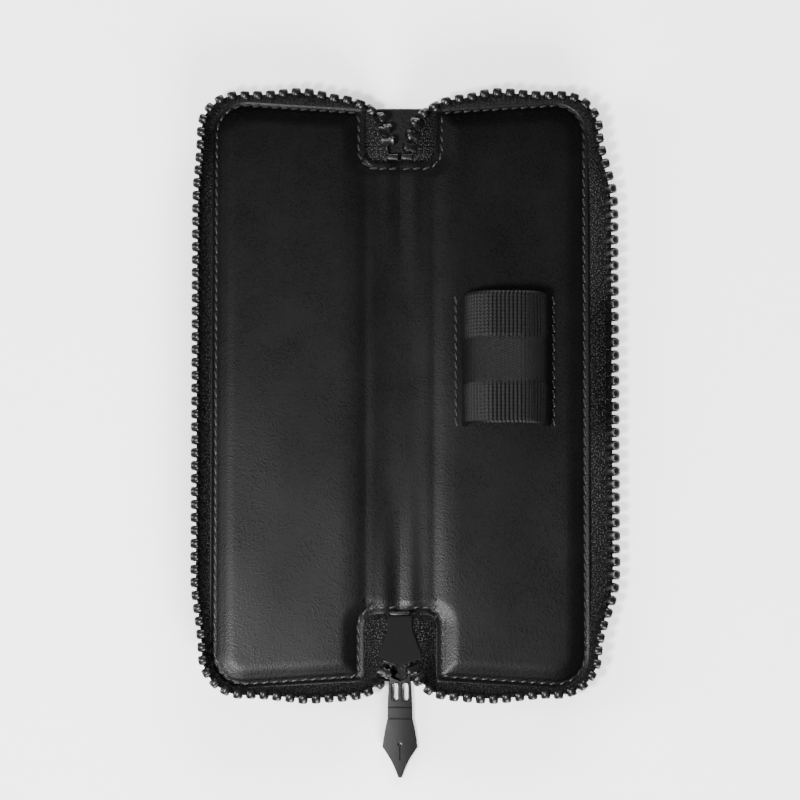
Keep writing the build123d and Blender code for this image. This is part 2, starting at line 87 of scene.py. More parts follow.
soft_box("key_light", (0.25, -0.85, 0.5), (0.02, -0.02, 0), (0.6, 0.45), 30.0)
soft_box("back_light", (0.15, 0.85, 0.45), (0, 0, 0), (0.9, 0.3), 20.0)
soft_box("side_light", (-0.9, 0.05, 0.4), (-0.03, 0, 0), (0.3, 0.8), 16.0)
soft_box("leather_light", (-0.2, -0.17, 0.8), (-0.06, -0.05, 0), (0.08, 0.12), 11.0)

world = bpy.data.worlds.new("studio")
bpy.context.scene.world = world
world.use_nodes = True
world.node_tree.nodes["Background"].inputs["Color"].default_value = (1, 1, 1, 1)
world.node_tree.nodes["Background"].inputs["Strength"].default_value = 0.15


class Value:
    """A shader socket that adds, multiplies and compares as a number does."""

    def __init__(self, tree, socket):
        self.tree = tree
        self.socket = socket

    def math(self, operation, other=None, swap=False):
        ends = [self, other] if not swap else [other, self]
        return self.tree.node("ShaderNodeMath", {"operation": operation}, *ends)

    def __add__(self, other):
        return self.math("ADD", other)

    def __radd__(self, other):
        return self.math("ADD", other)

    def __sub__(self, other):
        return self.math("SUBTRACT", other)

    def __rsub__(self, other):
        return self.math("SUBTRACT", other, True)

    def __mul__(self, other):
        return self.math("MULTIPLY", other)

    def __rmul__(self, other):
        return self.math("MULTIPLY", other)

    def __truediv__(self, other):
        return self.math("DIVIDE", other)

    def __pow__(self, other):
        return self.math("POWER", other)


class Finish:
    """A material under construction: its shader and the nodes that vary it."""

    def __init__(self, name, **constants):
        self.material = bpy.data.materials.new(name)
        self.material.use_nodes = True
        self.nodes = self.material.node_tree.nodes
        self.links = self.material.node_tree.links
        self.shader = self.nodes["Principled BSDF"]
        for socket, value in constants.items():
            self.shader.inputs[socket.replace("_", " ")].default_value = value

    def node(self, kind, settings, *inputs, out=0, **named):
        """Adds a node, sets it, feeds its sockets by order or by name, and gives an output."""
        made = self.nodes.new(kind)
        for key, value in settings.items():
            setattr(made, key, value)
        feeds = list(enumerate(inputs)) + [(k.replace("_", " "), v) for k, v in named.items()]
        for key, value in feeds:
            if value is None:
                continue
            if isinstance(value, Value):
                self.links.new(value.socket, made.inputs[key])
            else:
                made.inputs[key].default_value = value
        return Value(self, made.outputs[out])

    def place(self, source="Object", stretch=(1, 1, 1)):
        """Coordinates on the piece, in metres, or along its own map."""
        spot = self.node("ShaderNodeTexCoord", {}, out=source)
        return self.node("ShaderNodeMapping", {}, Vector=spot, Scale=stretch)

    def noise(self, where, scale, detail=3.0, roughness=0.5):
        settings = {"noise_dimensions": "3D"}
        return self.node("ShaderNodeTexNoise", settings, Vector=where, Scale=scale,
                         Detail=detail, Roughness=roughness)

    def cells(self, where, scale, feature="F1", out="Distance"):
        return self.node("ShaderNodeTexVoronoi", {"feature": feature}, Vector=where,
                         Scale=scale, out=out)

    def ramp(self, value, low, high, to_low=0.0, to_high=1.0):
        return self.node("ShaderNodeMapRange", {"interpolation_type": "SMOOTHSTEP"}, value,
                         low, high, to_low, to_high)

    def blend(self, share, first, second):
        """Mixes two colours by a share from 0 to 1."""
        made = self.nodes.new("ShaderNodeMix")
        made.data_type = "RGBA"
        self.links.new(share.socket, made.inputs["Factor"])
        for key, colour in (("A", first), ("B", second)):
            socket = [s for s in made.inputs if s.name == key and s.type == "RGBA"][0]
            socket.default_value = (*colour, 1)
        return Value(self, [s for s in made.outputs if s.type == "RGBA"][0])

    def feed(self, socket, value):
        self.links.new(value.socket, self.shader.inputs[socket])

    def bump(self, height, depth, strength=1.0):
        """Relief on the surface, with its full depth in metres."""
        normal = self.node("ShaderNodeBump", {}, Height=height, Distance=depth,
                           Strength=strength, out="Normal")
        self.feed("Normal", normal)


def add_mesh(name, points, faces, material, uvs=None, smooth=40):
    """A finished mesh object from points in millimetres."""
    mesh = bpy.data.meshes.new(name)
    mesh.from_pydata([tuple(p) for p in np.asarray(points, float) * MM], [], faces)
    if uvs is not None:
        layer = mesh.uv_layers.new(name="along")
        loops = np.zeros(len(mesh.loops), np.int32)
        mesh.loops.foreach_get("vertex_index", loops)
        layer.data.foreach_set("uv", (np.asarray(uvs, float) * MM)[loops].ravel())
    mesh.materials.append(material)
    mesh.shade_smooth()
    mesh.set_sharp_from_angle(angle=math.radians(smooth))
    mesh.validate()
    piece = bpy.data.objects.new(name, mesh)
    bpy.context.scene.collection.objects.link(piece)
    return piece


def strip_faces(rows, columns, start=0, wrap=False):
    """Quads between neighbouring rows of points, all rows as long as each other."""
    faces = []
    last = columns if wrap else columns - 1
    for row in range(rows - 1):
        for column in range(last):
            a = start + row * columns + column
            b = start + row * columns + (column + 1) % columns
            faces.append((a, b, b + columns, a + columns))
    return faces


TABLE_HALF = 1.5
table_finish = Finish("table_paper", Roughness=0.85)
table_finish.feed("Base Color", table_finish.blend(
    table_finish.noise(table_finish.place(), 30.0), (0.93, 0.93, 0.93), (0.96, 0.96, 0.96)))
table_corners = [(-1, -1, 0), (1, -1, 0), (1, 1, 0), (-1, 1, 0)]
table = add_mesh("table", np.array(table_corners) * TABLE_HALF / MM, [(0, 1, 2, 3)],
                 table_finish.material)


# ---------------------------------------------------------------- outer leather
# One piece of black full-grain leather wraps both leaves and the spine. It is cut a little
# larger than the lining and skived thin at its edge. The case folds at the two fold lines; here the
# leather is built lying flat.
spine_low, spine_high = (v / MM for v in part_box("spine_cover"))
cover_low, cover_high = (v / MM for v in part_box("right_cover"))
lining_low, lining_high = (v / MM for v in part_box("right_lining"))
EDGE_CORNER = 9.5
half_width = lining_high.x
cover_grow = cover_high.x - lining_high.x
cover_top = cover_high.z
fold_x = (spine_high.x + cover_low.x) / 2
INNER_REACH = 75.2
outer_reach = lining_high.y
end_slope = (outer_reach - INNER_REACH) / (half_width - EDGE_CORNER - fold_x)


def reach(x, grow):
    """How far the edge of a leaf lies along Y at this X, for an outline grown by that much."""
    corner_x = half_width - EDGE_CORNER
    end = INNER_REACH + (np.minimum(x, corner_x) - fold_x) * end_slope + grow
    radius = EDGE_CORNER + grow
    past = np.clip(x - corner_x, 0, radius)
    return end - radius + np.sqrt(radius**2 - past**2)


def depth_inside(x, y, grow):
    """Distance from a point on a leaf in to its nearest outer edge."""
    radius = EDGE_CORNER + grow
    corner_x = half_width - EDGE_CORNER
    straight = (reach(np.minimum(x, corner_x), grow) - np.abs(y)) * math.cos(math.atan(end_slope))
    side = half_width + grow - x
    corner_y = reach(corner_x, grow) - radius
    past_x = np.maximum(x - corner_x, 0)
    past_y = np.maximum(np.abs(y) - corner_y, 0)
    corner = radius - np.hypot(past_x, past_y)
    inside = np.where((x > corner_x) & (np.abs(y) > corner_y), corner, np.minimum(straight, side))
    return np.maximum(inside, 0)


def edge_columns(grow, start, step):
    """X of the columns of a leaf's mesh, closer together round its outer corners."""
    corner_x = half_width - EDGE_CORNER
    inner = np.linspace(start, corner_x, max(2, round((corner_x - start) / step)))
    turns = np.radians([8, 16, 24, 32, 40, 48, 55, 61, 67, 72, 77, 81, 85, 88, 90])
    return np.concatenate([inner, corner_x + (EDGE_CORNER + grow) * np.sin(turns)])


def edge_rows(length, step):
    """Shares from 0 to 1 along half a column, closer together near its end."""
    near = np.array([0, 0.08, 0.2, 0.36, 0.55, 0.8, 1.1, 1.5, 2.0, 2.6, 3.3, 4.2])
    far = np.linspace(near[-1], length, round((length - near[-1]) / step))[1:]
    return 1 - np.concatenate([near, far])[::-1][::-1] / length


def wrinkle(x, y, phase):
    """A quiet unevenness of hand-sewn leather, from -1 to 1."""
    wave = np.sin(x * 0.21 + phase + 1.3 * np.sin(y * 0.045 + phase))
    return wave * np.sin(y * 0.083 + phase * 2.1 + 0.8 * np.sin(x * 0.11))


def closed_plate(name, x, y, top, bottom, rim, material):
    """A plate from a grid of points: an upper and a lower face that meet at the rim."""
    rows, columns = x.shape
    points = np.concatenate([
        np.stack([x, y, top], -1).reshape(-1, 3),
        np.stack([x, y, bottom], -1).reshape(-1, 3),
    ])
    count = rows * columns
    upper = strip_faces(rows, columns)
    lower = [tuple(i + count for i in face[::-1]) for face in upper]
    ring = [(a, b, b + count, a + count) for a, b in zip(rim[1:] + rim[:1], rim)]
    return points, upper + lower + ring


def grid_rim(rows, columns):
    """Indices round the outside of a grid, anticlockwise seen from above."""
    bottom = list(range(columns))
    right = [row * columns + columns - 1 for row in range(1, rows)]
    top = [(rows - 1) * columns + column for column in range(columns - 2, -1, -1)]
    left = [row * columns for row in range(rows - 2, 0, -1)]
    return bottom + right + top + left


def mirrored(points, faces):
    """The same shape on the left, with its faces turned to point outwards again."""
    flipped = np.array(points, float) * (-1, 1, 1)
    return flipped, [face[::-1] for face in faces]


def grain_leather(name, dark, light, pore, depth, rough, sheen):
    """Black leather: pebbled grain, fine pores, and a faint mottle in colour and polish."""
    leather = Finish(name, Specular_IOR_Level=0.1, Coat_Roughness=0.4)
    where = leather.place()
    mottle = leather.noise(where, 90.0, 4.0, 0.6)
    leather.feed("Base Color", leather.blend(mottle, dark, light))
    pebble = leather.ramp(leather.cells(where, 1 / pore), 0.0, 0.75)
    fine = leather.noise(where, 2.6 / pore, 3.0, 0.6)
    broad = leather.noise(where, 0.16 / pore, 2.0, 0.5)
    leather.feed("Roughness", rough + (mottle - 0.5) * 0.12 + (pebble - 0.5) * 0.1)
    leather.feed("Coat Weight", sheen * leather.ramp(broad, 0.3, 0.7, 0.6, 1.0))
    height = (1 - pebble) * 0.45 + fine * 0.12 + broad * 0.35
    leather.bump(height, depth)
    return leather.material


outer_leather = grain_leather("outer_leather", (0.0012, 0.0012, 0.0014), (0.003, 0.003, 0.0033),
                              0.0011, 0.00012, 0.46, 0.03)
SPINE_REACH = spine_high.y
EDGE_ROUND = 0.5
cover_x = edge_columns(cover_grow, 0.0, 1.3)
cover_share = edge_rows(outer_reach, 1.6)
cover_share = np.concatenate([-cover_share, cover_share[::-1][1:]])
cover_ends = reach(np.maximum(cover_x, fold_x), cover_grow)
to_spine = np.clip((fold_x + 1.8 - cover_x) / 3.0, 0, 1)
to_spine = to_spine * to_spine * (3 - 2 * to_spine)
cover_ends = cover_ends + (SPINE_REACH - cover_ends) * to_spine
grid_x = np.tile(cover_x, (len(cover_share), 1))
grid_y = cover_share[:, None] * cover_ends[None, :]
inside = np.minimum(depth_inside(np.maximum(grid_x, fold_x), grid_y, cover_grow),
                    cover_ends[None, :] - np.abs(grid_y))
drop = EDGE_ROUND - np.sqrt(np.maximum(EDGE_ROUND**2 - np.maximum(EDGE_ROUND - inside, 0) ** 2, 0))
belly = 0.06 * (1 + wrinkle(grid_x, grid_y, 0.4)) * np.clip(inside / 8, 0, 1)
cover_points, cover_faces = closed_plate(
    "cover", grid_x, grid_y, cover_top - drop, drop + belly, grid_rim(*grid_x.shape),
    outer_leather)
right_cover = add_mesh("outer_leather_right", cover_points, cover_faces, outer_leather)
left_cover = add_mesh("outer_leather_left", *mirrored(cover_points, cover_faces), outer_leather)


def bend_at_fold(piece):
    """Bakes the piece's placement into its points; the piece itself is not bent."""
    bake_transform(piece)


for piece, side, node in ((right_cover, 1, "right_cover"), (left_cover, -1, "left_cover")):
    bend_at_fold(piece)
    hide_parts(node, "spine_cover")


# ---------------------------------------------------------------- lining leather
# Smooth black leather over a foam pad, sewn flat at its margin. It is one skin across the
# spine, cut out at both ends of the spine for the zip, and it creases softly there.
MARGIN_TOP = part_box("spine_lining")[1].z / MM
LINING_THICK = MARGIN_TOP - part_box("spine_lining")[0].z / MM
PAD_RISE = 0.5
NOTCH_ROUND = 3.0
SEAM_INSET = 1.8
RISE_START = 2.0
RISE_END = 6.2
FOLD_RISE_START = 2.0
FOLD_RISE_END = 15.5
PAD_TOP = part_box("right_pad")[1].z / MM
PAD_INSET = 5.3
PAD_START = 13.3
notch_wide = fold_x
notch_top = 60.4
notch_bottom = 57.4
lining_leather = grain_leather("lining_leather", (0.0006, 0.0006, 0.0007), (0.0016, 0.0016, 0.0018),
                               0.0005, 0.00003, 0.3, 0.02)


def notch_reach(x, depth):
    """End of the lining over the spine, with a rounded inside corner at the leaf."""
    past = np.clip(x - (notch_wide - NOTCH_ROUND), 0, NOTCH_ROUND)
    return depth + NOTCH_ROUND - np.sqrt(NOTCH_ROUND**2 - past**2)


def lining_depth(x, y):
    """Distance in from the lining's edge, counting the notches too."""
    outer = depth_inside(np.maximum(x, notch_wide), y, 0)
    for end, sign in ((notch_top, 1), (notch_bottom, -1)):
        up = sign * y
        centre_x, centre_y = notch_wide - NOTCH_ROUND, end + NOTCH_ROUND
        flat = end - up
        curve = np.hypot(x - centre_x, up - centre_y) - NOTCH_ROUND
        side = x - notch_wide
        near = np.where(x < centre_x, flat, np.where(up < centre_y, curve, side))
        near = np.where((x > notch_wide) & (up < centre_y), np.maximum(near, 0), near)
        outer = np.where((up > 0), np.minimum(outer, np.maximum(near, 0)), outer)
    return outer


def smooth_step(value):
    value = np.clip(value, 0, 1)
    return value * value * (3 - 2 * value)


def crease(x, y, centre, width, start, fade, sign):
    """A soft fold that runs along Y from a notch and fades into the flat leather."""
    along = smooth_step(1 - (start - sign * y) / fade)
    return np.exp(-(((x - centre) / width) ** 2)) * along


def lining_surface(x, y, side):
    """Level of the lining's face, for the right (+1) or left (-1) half."""
    inside = lining_depth(x, y)
    over_pad = (inside - RISE_START) / (RISE_END - RISE_START)
    from_fold = (x - FOLD_RISE_START) / (FOLD_RISE_END - FOLD_RISE_START)
    level = MARGIN_TOP + PAD_RISE * smooth_step(np.minimum(over_pad, from_fold))
    seam = np.exp(-(((inside - SEAM_INSET) / 0.45) ** 2))
    level = level - 0.26 * seam
    level = level - 0.12 * np.exp(-(((inside - 0.0) / 0.35) ** 2))
    signed = x * side
    level = level + 0.20 * crease(signed, y, 3.6, 2.0, notch_top, 52.0, 1)
    level = level - 0.14 * crease(signed, y, 0.2, 1.5, notch_top, 38.0, 1)
    level = level + 0.16 * crease(signed, y, -3.4, 1.9, notch_top, 34.0, 1)
    level = level + 0.17 * crease(signed, y, 3.0, 1.8, notch_bottom, 46.0, -1)
    level = level - 0.12 * crease(signed, y, -0.6, 1.4, notch_bottom, 30.0, -1)
    level = level + 0.13 * crease(signed, y, -4.0, 1.8, notch_bottom, 40.0, -1)
    level = level - 0.10 * np.exp(-(((x - notch_wide) / 1.5) ** 2)) * smooth_step(inside / 3)
    level = level + 0.05 * wrinkle(signed, y, 1.1) * smooth_step(inside / 6)
    return level


def lining_half(side):
    """Mesh of half the lining: the leaf's columns, then the spine's, joined at the fold."""
    leaf_x = edge_columns(0, notch_wide, 0.8)
    share = edge_rows(INNER_REACH, 0.9)
    share = np.concatenate([-share, share[::-1][1:]])
    cut_top = (notch_top + NOTCH_ROUND) / INNER_REACH
    cut_bottom = -(notch_bottom + NOTCH_ROUND) / INNER_REACH
    share[np.argmin(abs(share - cut_top))] = cut_top
    share[np.argmin(abs(share - cut_bottom))] = cut_bottom
    first = int(np.argmin(abs(share - cut_bottom)))
    last = int(np.argmin(abs(share - cut_top)))
    leaf_ends = reach(leaf_x, 0)
    leaf_gx = np.tile(leaf_x, (len(share), 1))
    leaf_gy = share[:, None] * leaf_ends[None, :]
    bend = np.radians([86, 80, 72, 63, 54, 45, 35, 24, 12, 0])
    spine_x = np.concatenate([np.linspace(0, notch_wide - NOTCH_ROUND, 9)[:-1],
                              notch_wide - NOTCH_ROUND + NOTCH_ROUND * np.sin(bend[::-1])])
    inner = share[first:last + 1] * INNER_REACH
    spine_gx = np.tile(spine_x, (len(inner), 1))
    tops = notch_reach(spine_x, notch_top)
    bottoms = notch_reach(spine_x, notch_bottom)
    scale = (inner - inner[0]) / (inner[-1] - inner[0])
    spine_gy = -bottoms[None, :] + scale[:, None] * (tops + bottoms)[None, :]
    return leaf_gx, leaf_gy, spine_gx, spine_gy, first


def lining_mesh(side):
    leaf_gx, leaf_gy, spine_gx, spine_gy, first = lining_half(side)
    leaf_rows, leaf_columns = leaf_gx.shape
    spine_rows, spine_columns = spine_gx.shape
    flat_x = np.concatenate([leaf_gx.ravel(), spine_gx.ravel()])
    flat_y = np.concatenate([leaf_gy.ravel(), spine_gy.ravel()])
    level = lining_surface(flat_x, flat_y, side)
    leaf_count = leaf_rows * leaf_columns
    upper = strip_faces(leaf_rows, leaf_columns)
    upper += strip_faces(spine_rows, spine_columns, leaf_count)
    for row in range(spine_rows - 1):
        a = leaf_count + row * spine_columns + spine_columns - 1
        b = (first + row) * leaf_columns
        upper.append((a, b, b + leaf_columns, a + spine_columns))
    total = len(flat_x)
    on_pad = (lining_depth(flat_x, flat_y) > PAD_INSET - 0.8) & (flat_x > PAD_START - 0.8)
    under = np.where(on_pad, np.maximum(level - LINING_THICK, PAD_TOP + 0.01),
                     level - LINING_THICK)
    points = np.concatenate([np.stack([flat_x, flat_y, level], -1),
                             np.stack([flat_x, flat_y, under], -1)])
    lower = [tuple(i + total for i in face[::-1]) for face in upper]
    edges = {}
    for face in upper:
        for a, b in zip(face, face[1:] + face[:1]):
            edges[(a, b)] = True
    rim = [(b, a, a + total, b + total) for a, b in edges if (b, a) not in edges]
    faces = upper + lower + rim
    if side < 0:
        return mirrored(points, faces)
    return points, faces


right_lining = add_mesh("lining_right", *lining_mesh(1), lining_leather)
left_lining = add_mesh("lining_left", *lining_mesh(-1), lining_leather)
for piece, side, node in ((right_lining, 1, "right_lining"), (left_lining, -1, "left_lining")):
    bend_at_fold(piece)
    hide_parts(node, "spine_lining")


# ---------------------------------------------------------------- zip tape
# A knitted tape is sewn between the cover and the lining all round each leaf and into both
# cut-outs of the spine. It stands up from the edge and leans outwards, and its free edge
# is corded. At the slider it lies level, and runs into the slider's two sides.
TAPE_THICK = 0.5
CORD_RADIUS = 0.55
CORD_RUN = 1.5
TAPE_FOOT = 0.42
TAPE_LEVEL = 1.5
TAPE_FLANGE = 2.6
WALL_WIDTH = 7.6
TAPE_START = 14.2
LEAN_CORNER = 4.0
LEAN_RUN = 20.0
TOP_CORNER = (-6.0, 9.0)
PATH_STEP = 1.2
SIDE_STEP = 0.55
NOTCH_PULL_X = 28.0
NOTCH_LEAN = (-3.0, 18.0)
LEAN = {1: (8.0, 36.0, 20.0), -1: (8.0, 16.5, 20.0)}
# Each row of the tape is a curve by four points: under the lining, at the lining's edge,
# above it, and the toothed edge. These are the cut-outs' rows, from the leaf inwards.
STOP_ROWS = [
    ((12.4, 73.0, 1.5), (11.6, 75.3, 1.5), (11.4, 75.5, 3.2), (11.2, 74.9, 8.7)),
    ((11.3, 72.6, 1.5), (9.6, 75.2, 1.5), (9.2, 75.4, 3.2), (8.6, 73.9, 7.9)),
    ((11.0, 71.8, 1.5), (8.7, 74.0, 1.5), (8.0, 74.2, 3.0), (6.5, 72.6, 6.9)),
    ((11.0, 70.6, 1.5), (8.5, 71.8, 1.5), (7.6, 71.6, 2.9), (5.1, 70.9, 6.0)),
    ((11.0, 69.0, 1.5), (8.5, 69.4, 1.5), (7.4, 69.2, 2.7), (4.2, 68.8, 5.0)),
    ((11.0, 66.6, 1.5), (8.5, 66.6, 1.5), (7.2, 66.6, 2.5), (3.5, 66.3, 4.1)),
    ((11.0, 63.6, 1.5), (8.5, 63.6, 1.5), (7.2, 63.6, 2.4), (3.0, 63.5, 3.6)),
    ((11.0, 61.6, 1.5), (8.5, 61.6, 1.5), (7.2, 61.6, 2.3), (2.9, 61.6, 3.5)),
    ((11.0, 60.6, 1.5), (8.5, 60.6, 1.5), (6.0, 60.6, 1.6), (3.0, 60.7, 2.2)),
    ((11.0, 58.8, 1.5), (8.5, 58.8, 1.5), (6.0, 58.8, 1.5), (3.2, 58.8, 1.5)),
]
SLIDER_ROWS = [
    ((12.4, 73.0, 1.5), (11.6, 75.3, 1.5), (11.4, 76.1, 3.0), (11.2, 77.9, 8.3)),
    ((11.3, 72.6, 1.5), (9.6, 75.2, 1.5), (9.1, 76.0, 3.0), (8.5, 77.2, 7.7)),
    ((11.0, 71.8, 1.5), (8.8, 74.2, 1.5), (8.2, 75.2, 4.6), (6.6, 75.8, 7.4)),
    ((11.0, 70.6, 1.5), (8.4, 72.4, 1.5), (7.6, 72.8, 5.6), (4.7, 73.0, 6.8)),
    ((11.0, 70.0, 1.5), (8.2, 70.2, 1.5), (7.4, 70.2, 6.2), (3.3, 70.2, 6.5)),
    ((11.0, 68.2, 1.5), (8.2, 68.2, 1.5), (7.4, 68.2, 6.2), (2.75, 68.2, 6.5)),
    ((11.0, 66.0, 1.5), (8.2, 66.0, 1.5), (7.4, 66.0, 6.2), (2.0, 66.0, 6.5)),
    ((11.0, 63.8, 1.5), (8.2, 63.8, 1.5), (7.4, 63.8, 6.2), (1.45, 63.8, 6.5)),
    ((11.0, 58.8, 1.5), (8.2, 58.8, 1.5), (7.4, 58.8, 6.0), (1.4, 58.8, 6.5)),
    ((11.0, 57.6, 1.5), (8.2, 57.6, 1.5), (7.0, 57.6, 2.5), (2.4, 57.7, 3.0)),
    ((11.0, 56.2, 1.5), (8.2, 56.2, 1.5), (6.0, 56.2, 1.5), (3.0, 56.2, 1.5)),
]


def leaf_rows(side):
    """The rows round a leaf, from the stop end to the slider end."""
    stop_lean, side_lean, slider_lean = LEAN[side]
    corner_x = half_width - EDGE_CORNER
    corner_y = reach(corner_x, 0) - EDGE_CORNER
    slope = math.atan(end_slope)
    stations = []
    for x in np.linspace(TAPE_START, corner_x - 1.0, 8):
        stations.append((x, reach(x, 0), -math.sin(slope), math.cos(slope), corner_x - x, 0))
    for turn in np.radians(np.linspace(4, 86, 8)):
        stations.append((corner_x + EDGE_CORNER * math.sin(turn),
                         corner_y + EDGE_CORNER * math.cos(turn),
                         math.sin(turn), math.cos(turn), 0, 1))
    for y in np.linspace(corner_y - 1.0, 0, 14):
        stations.append((half_width, y, 1, 0, corner_y - y, 2))
    lower = [(x, -y, hx, -hy, room, part) for x, y, hx, hy, room, part in stations[-2::-1]]
    rows = []
    for number, (x, y, hx, hy, room, part) in enumerate(stations + lower):
        lean = side_lean if part == 2 else (stop_lean if y > 0 else slider_lean)
        notch_lean = NOTCH_LEAN[0 if y > 0 else 1]
        ease = smooth_step(room / LEAN_RUN)
        near_notch = smooth_step((NOTCH_PULL_X - x) / (NOTCH_PULL_X - TAPE_START))
        corner_lean = LEAN_CORNER
        if y > 0:
            corner_lean = TOP_CORNER[0] + (TOP_CORNER[1] - TOP_CORNER[0]) * abs(hx) ** 1.5
        lean = corner_lean + (lean - corner_lean) * ease
        if part == 0:
            lean = lean + (notch_lean - lean) * near_notch
        lean = math.radians(lean)
        out = TAPE_FOOT + WALL_WIDTH * math.sin(lean)
        near, rise = TAPE_FOOT - 0.9, WALL_WIDTH * math.cos(lean)
        above = TAPE_FOOT + (out - TAPE_FOOT) * 0.23
        rows.append(((x - TAPE_FLANGE * hx, y - TAPE_FLANGE * hy, TAPE_LEVEL),
                     (x + near * hx, y + near * hy, TAPE_LEVEL),
                     (x + above * hx, y + above * hy, TAPE_LEVEL + rise * 0.23),
                     (x + out * hx, y + out * hy, TAPE_LEVEL + rise)))
    return rows


STOP_LEAD = [((11.5, 75.8, 1.6), None, (11.2, 74.9, 8.7)),
             ((10.0, 75.5, 1.6), None, (8.6, 73.9, 7.9))]
SLIDER_LEAD = [((11.5, 75.8, 1.6), None, (11.2, 77.9, 8.3)),
               ((10.0, 75.7, 1.6), None, (8.5, 77.2, 7.7))]


def smooth_rows(rows, step):
    """Rows spaced evenly along the edge of the tape, on a smooth curve through them."""
    rows = np.array(rows, float)
    runs = np.linalg.norm(np.diff(rows[:, 3], axis=0), axis=1)
    at = np.concatenate([[0], np.cumsum(runs)])
    slope = np.gradient(rows, at, axis=0)
    wanted = np.linspace(0, at[-1], round(at[-1] / step))
    index = np.clip(np.searchsorted(at, wanted, side="right") - 1, 0, len(at) - 2)
    span = (at[index + 1] - at[index])[:, None, None]
    share = ((wanted - at[index]) / (at[index + 1] - at[index]))[:, None, None]
    a, b = rows[index], rows[index + 1]
    ta, tb = slope[index] * span, slope[index + 1] * span
    two, three = share**2, share**3
    curve = ((2 * three - 3 * two + 1) * a + (three - 2 * two + share) * ta
             + (3 * two - 2 * three) * b + (three - two) * tb)
    return curve, wanted


def tape_path(side):
    """All the rows of one tape on the right-hand side, from the stop end to the slider end."""
    slider = np.array(SLIDER_ROWS) * (1, -1, 1)
    rows = [np.array(STOP_ROWS[::-1]), np.array(leaf_rows(side)), slider]
    return smooth_rows(np.concatenate(rows), PATH_STEP)


def tape_mesh(side):
    """Closed strip along the path, thicker at its corded edge, with a map in millimetres."""
    rows, along = tape_path(side)
    shares = np.linspace(0, 1, 15)
    base, first, second, edge = rows[:, 0:1], rows[:, 1:2], rows[:, 2:3], rows[:, 3:4]
    s = shares[None, :, None]
    line = ((1 - s) ** 3 * base + 3 * (1 - s) ** 2 * s * first + 3 * (1 - s) * s**2 * second
            + s**3 * edge)
    across = np.gradient(line, axis=1)
    forward = np.gradient(line, axis=0)
    normal = np.cross(across, forward)
    normal /= np.linalg.norm(normal, axis=2, keepdims=True) + 1e-9
    from_edge = np.linalg.norm(edge - line, axis=2)
    cord = np.sqrt(np.maximum(1 - ((from_edge - 0.4) / CORD_RUN * 1.6) ** 2, 0))
    half = np.maximum(TAPE_THICK / 2, CORD_RADIUS * cord)
    half = half * np.where(np.arange(len(shares)) == len(shares) - 1, 0.45, 1.0)[None, :]
    ripple = 0.05 * np.sin(along * 2.1)[:, None] * smooth_step((shares - 0.3) / 0.4)[None, :]
    front = line + normal * (half + ripple)[:, :, None]
    back = line - normal * (half - ripple)[:, :, None]
    ring = np.concatenate([front, back[:, ::-1]], axis=1)
    count = ring.shape[1]
    faces = strip_faces(len(rows), count, wrap=True)
    faces = [face[::-1] for face in faces]
    faces.append(tuple(range(count)))
    faces.append(tuple(range((len(rows) - 1) * count, len(rows) * count))[::-1])
    run = np.concatenate([shares, shares[::-1]]) * 9.0
    uvs = np.stack(np.broadcast_arrays(along[:, None], run[None, :]), -1).reshape(-1, 2)
    width = np.linalg.norm(np.diff(line, axis=1), axis=2).sum(axis=1).mean()
    length = np.linalg.norm(np.diff(line, axis=0), axis=2).sum(axis=0).mean()
    cut = ((TAPE_FLANGE + WALL_WIDTH) * MM, float(length) * MM)
    return ring.reshape(-1, 3), faces, uvs, cut, float(width * length) * MM**2


def knit_cloth(name, dark, light, course, wale, depth):
    """Knitted or woven black yarn, with crossing ribs, and bright specks in its colour that are painted
    glints of light on the yarn.
    """
    cloth = Finish(name, Roughness=0.6, Specular_IOR_Level=0.08)
    spot = cloth.place("UV")
    axes = cloth.node("ShaderNodeSeparateXYZ", {}, spot)
    across = cloth.node("ShaderNodeSeparateXYZ", {}, spot, out=1)
    wave = (axes * (math.tau / (course * MM))).math("SINE")
    weft = (across * (math.tau / (wale * MM)) + wave * 0.8).math("SINE")
    fuzz = cloth.noise(spot, 2200.0, 2.0)
    knots = cloth.noise(spot, 2600.0, 1.0)
    glint_specks = cloth.ramp(knots + wave * weft * 0.02, 0.55, 0.66)
    height = wave * 0.12 + weft * 0.12 + fuzz * 0.5 + knots * 0.5
    # Painted glints: the bright specks in the colour stand in for light caught by the yarn, not for
    # pale fibres.
    cloth.feed("Base Color", cloth.blend(glint_specks, dark, light))
    cloth.bump(height, depth * MM)
    return cloth.material


tape_cloth = knit_cloth("zip_tape", (0.0006, 0.0006, 0.0008), (0.035, 0.035, 0.0365), 0.9, 0.7, 0.3)
for side, leaf in ((1, "right"), (-1, "left")):
    points, faces, uvs, tape_cut, tape_area = tape_mesh(side)
    if side < 0:
        points, faces = mirrored(points, faces)
    piece = add_mesh("zip_tape_" + leaf, points, faces, tape_cloth, uvs)
    bend_at_fold(piece)
    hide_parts(leaf + "_zip_tape", "slider_end_tape_" + leaf, "stop_end_tape_" + leaf)


# ---------------------------------------------------------------- zip teeth
# Moulded plastic teeth, each with a rounded head, a narrow neck and a clamp that grips the
# tape's cord. The two chains are half a pitch apart, so that the heads can mesh.
TOOTH_PITCH = 3.33
TOOTH_THICK = 2.2
TOOTH_BEVEL = 0.5
TOOTH_OUTLINE = [(0.85, -1.35), (1.2, -0.9), (1.22, 0.25), (0.92, 0.7), (1.22, 1.15),
                 (1.2, 1.75), (0.65, 2.3)]
FIRST_TOOTH = {1: 5.9, -1: 7.55}
LAST_ROOM = 6.2


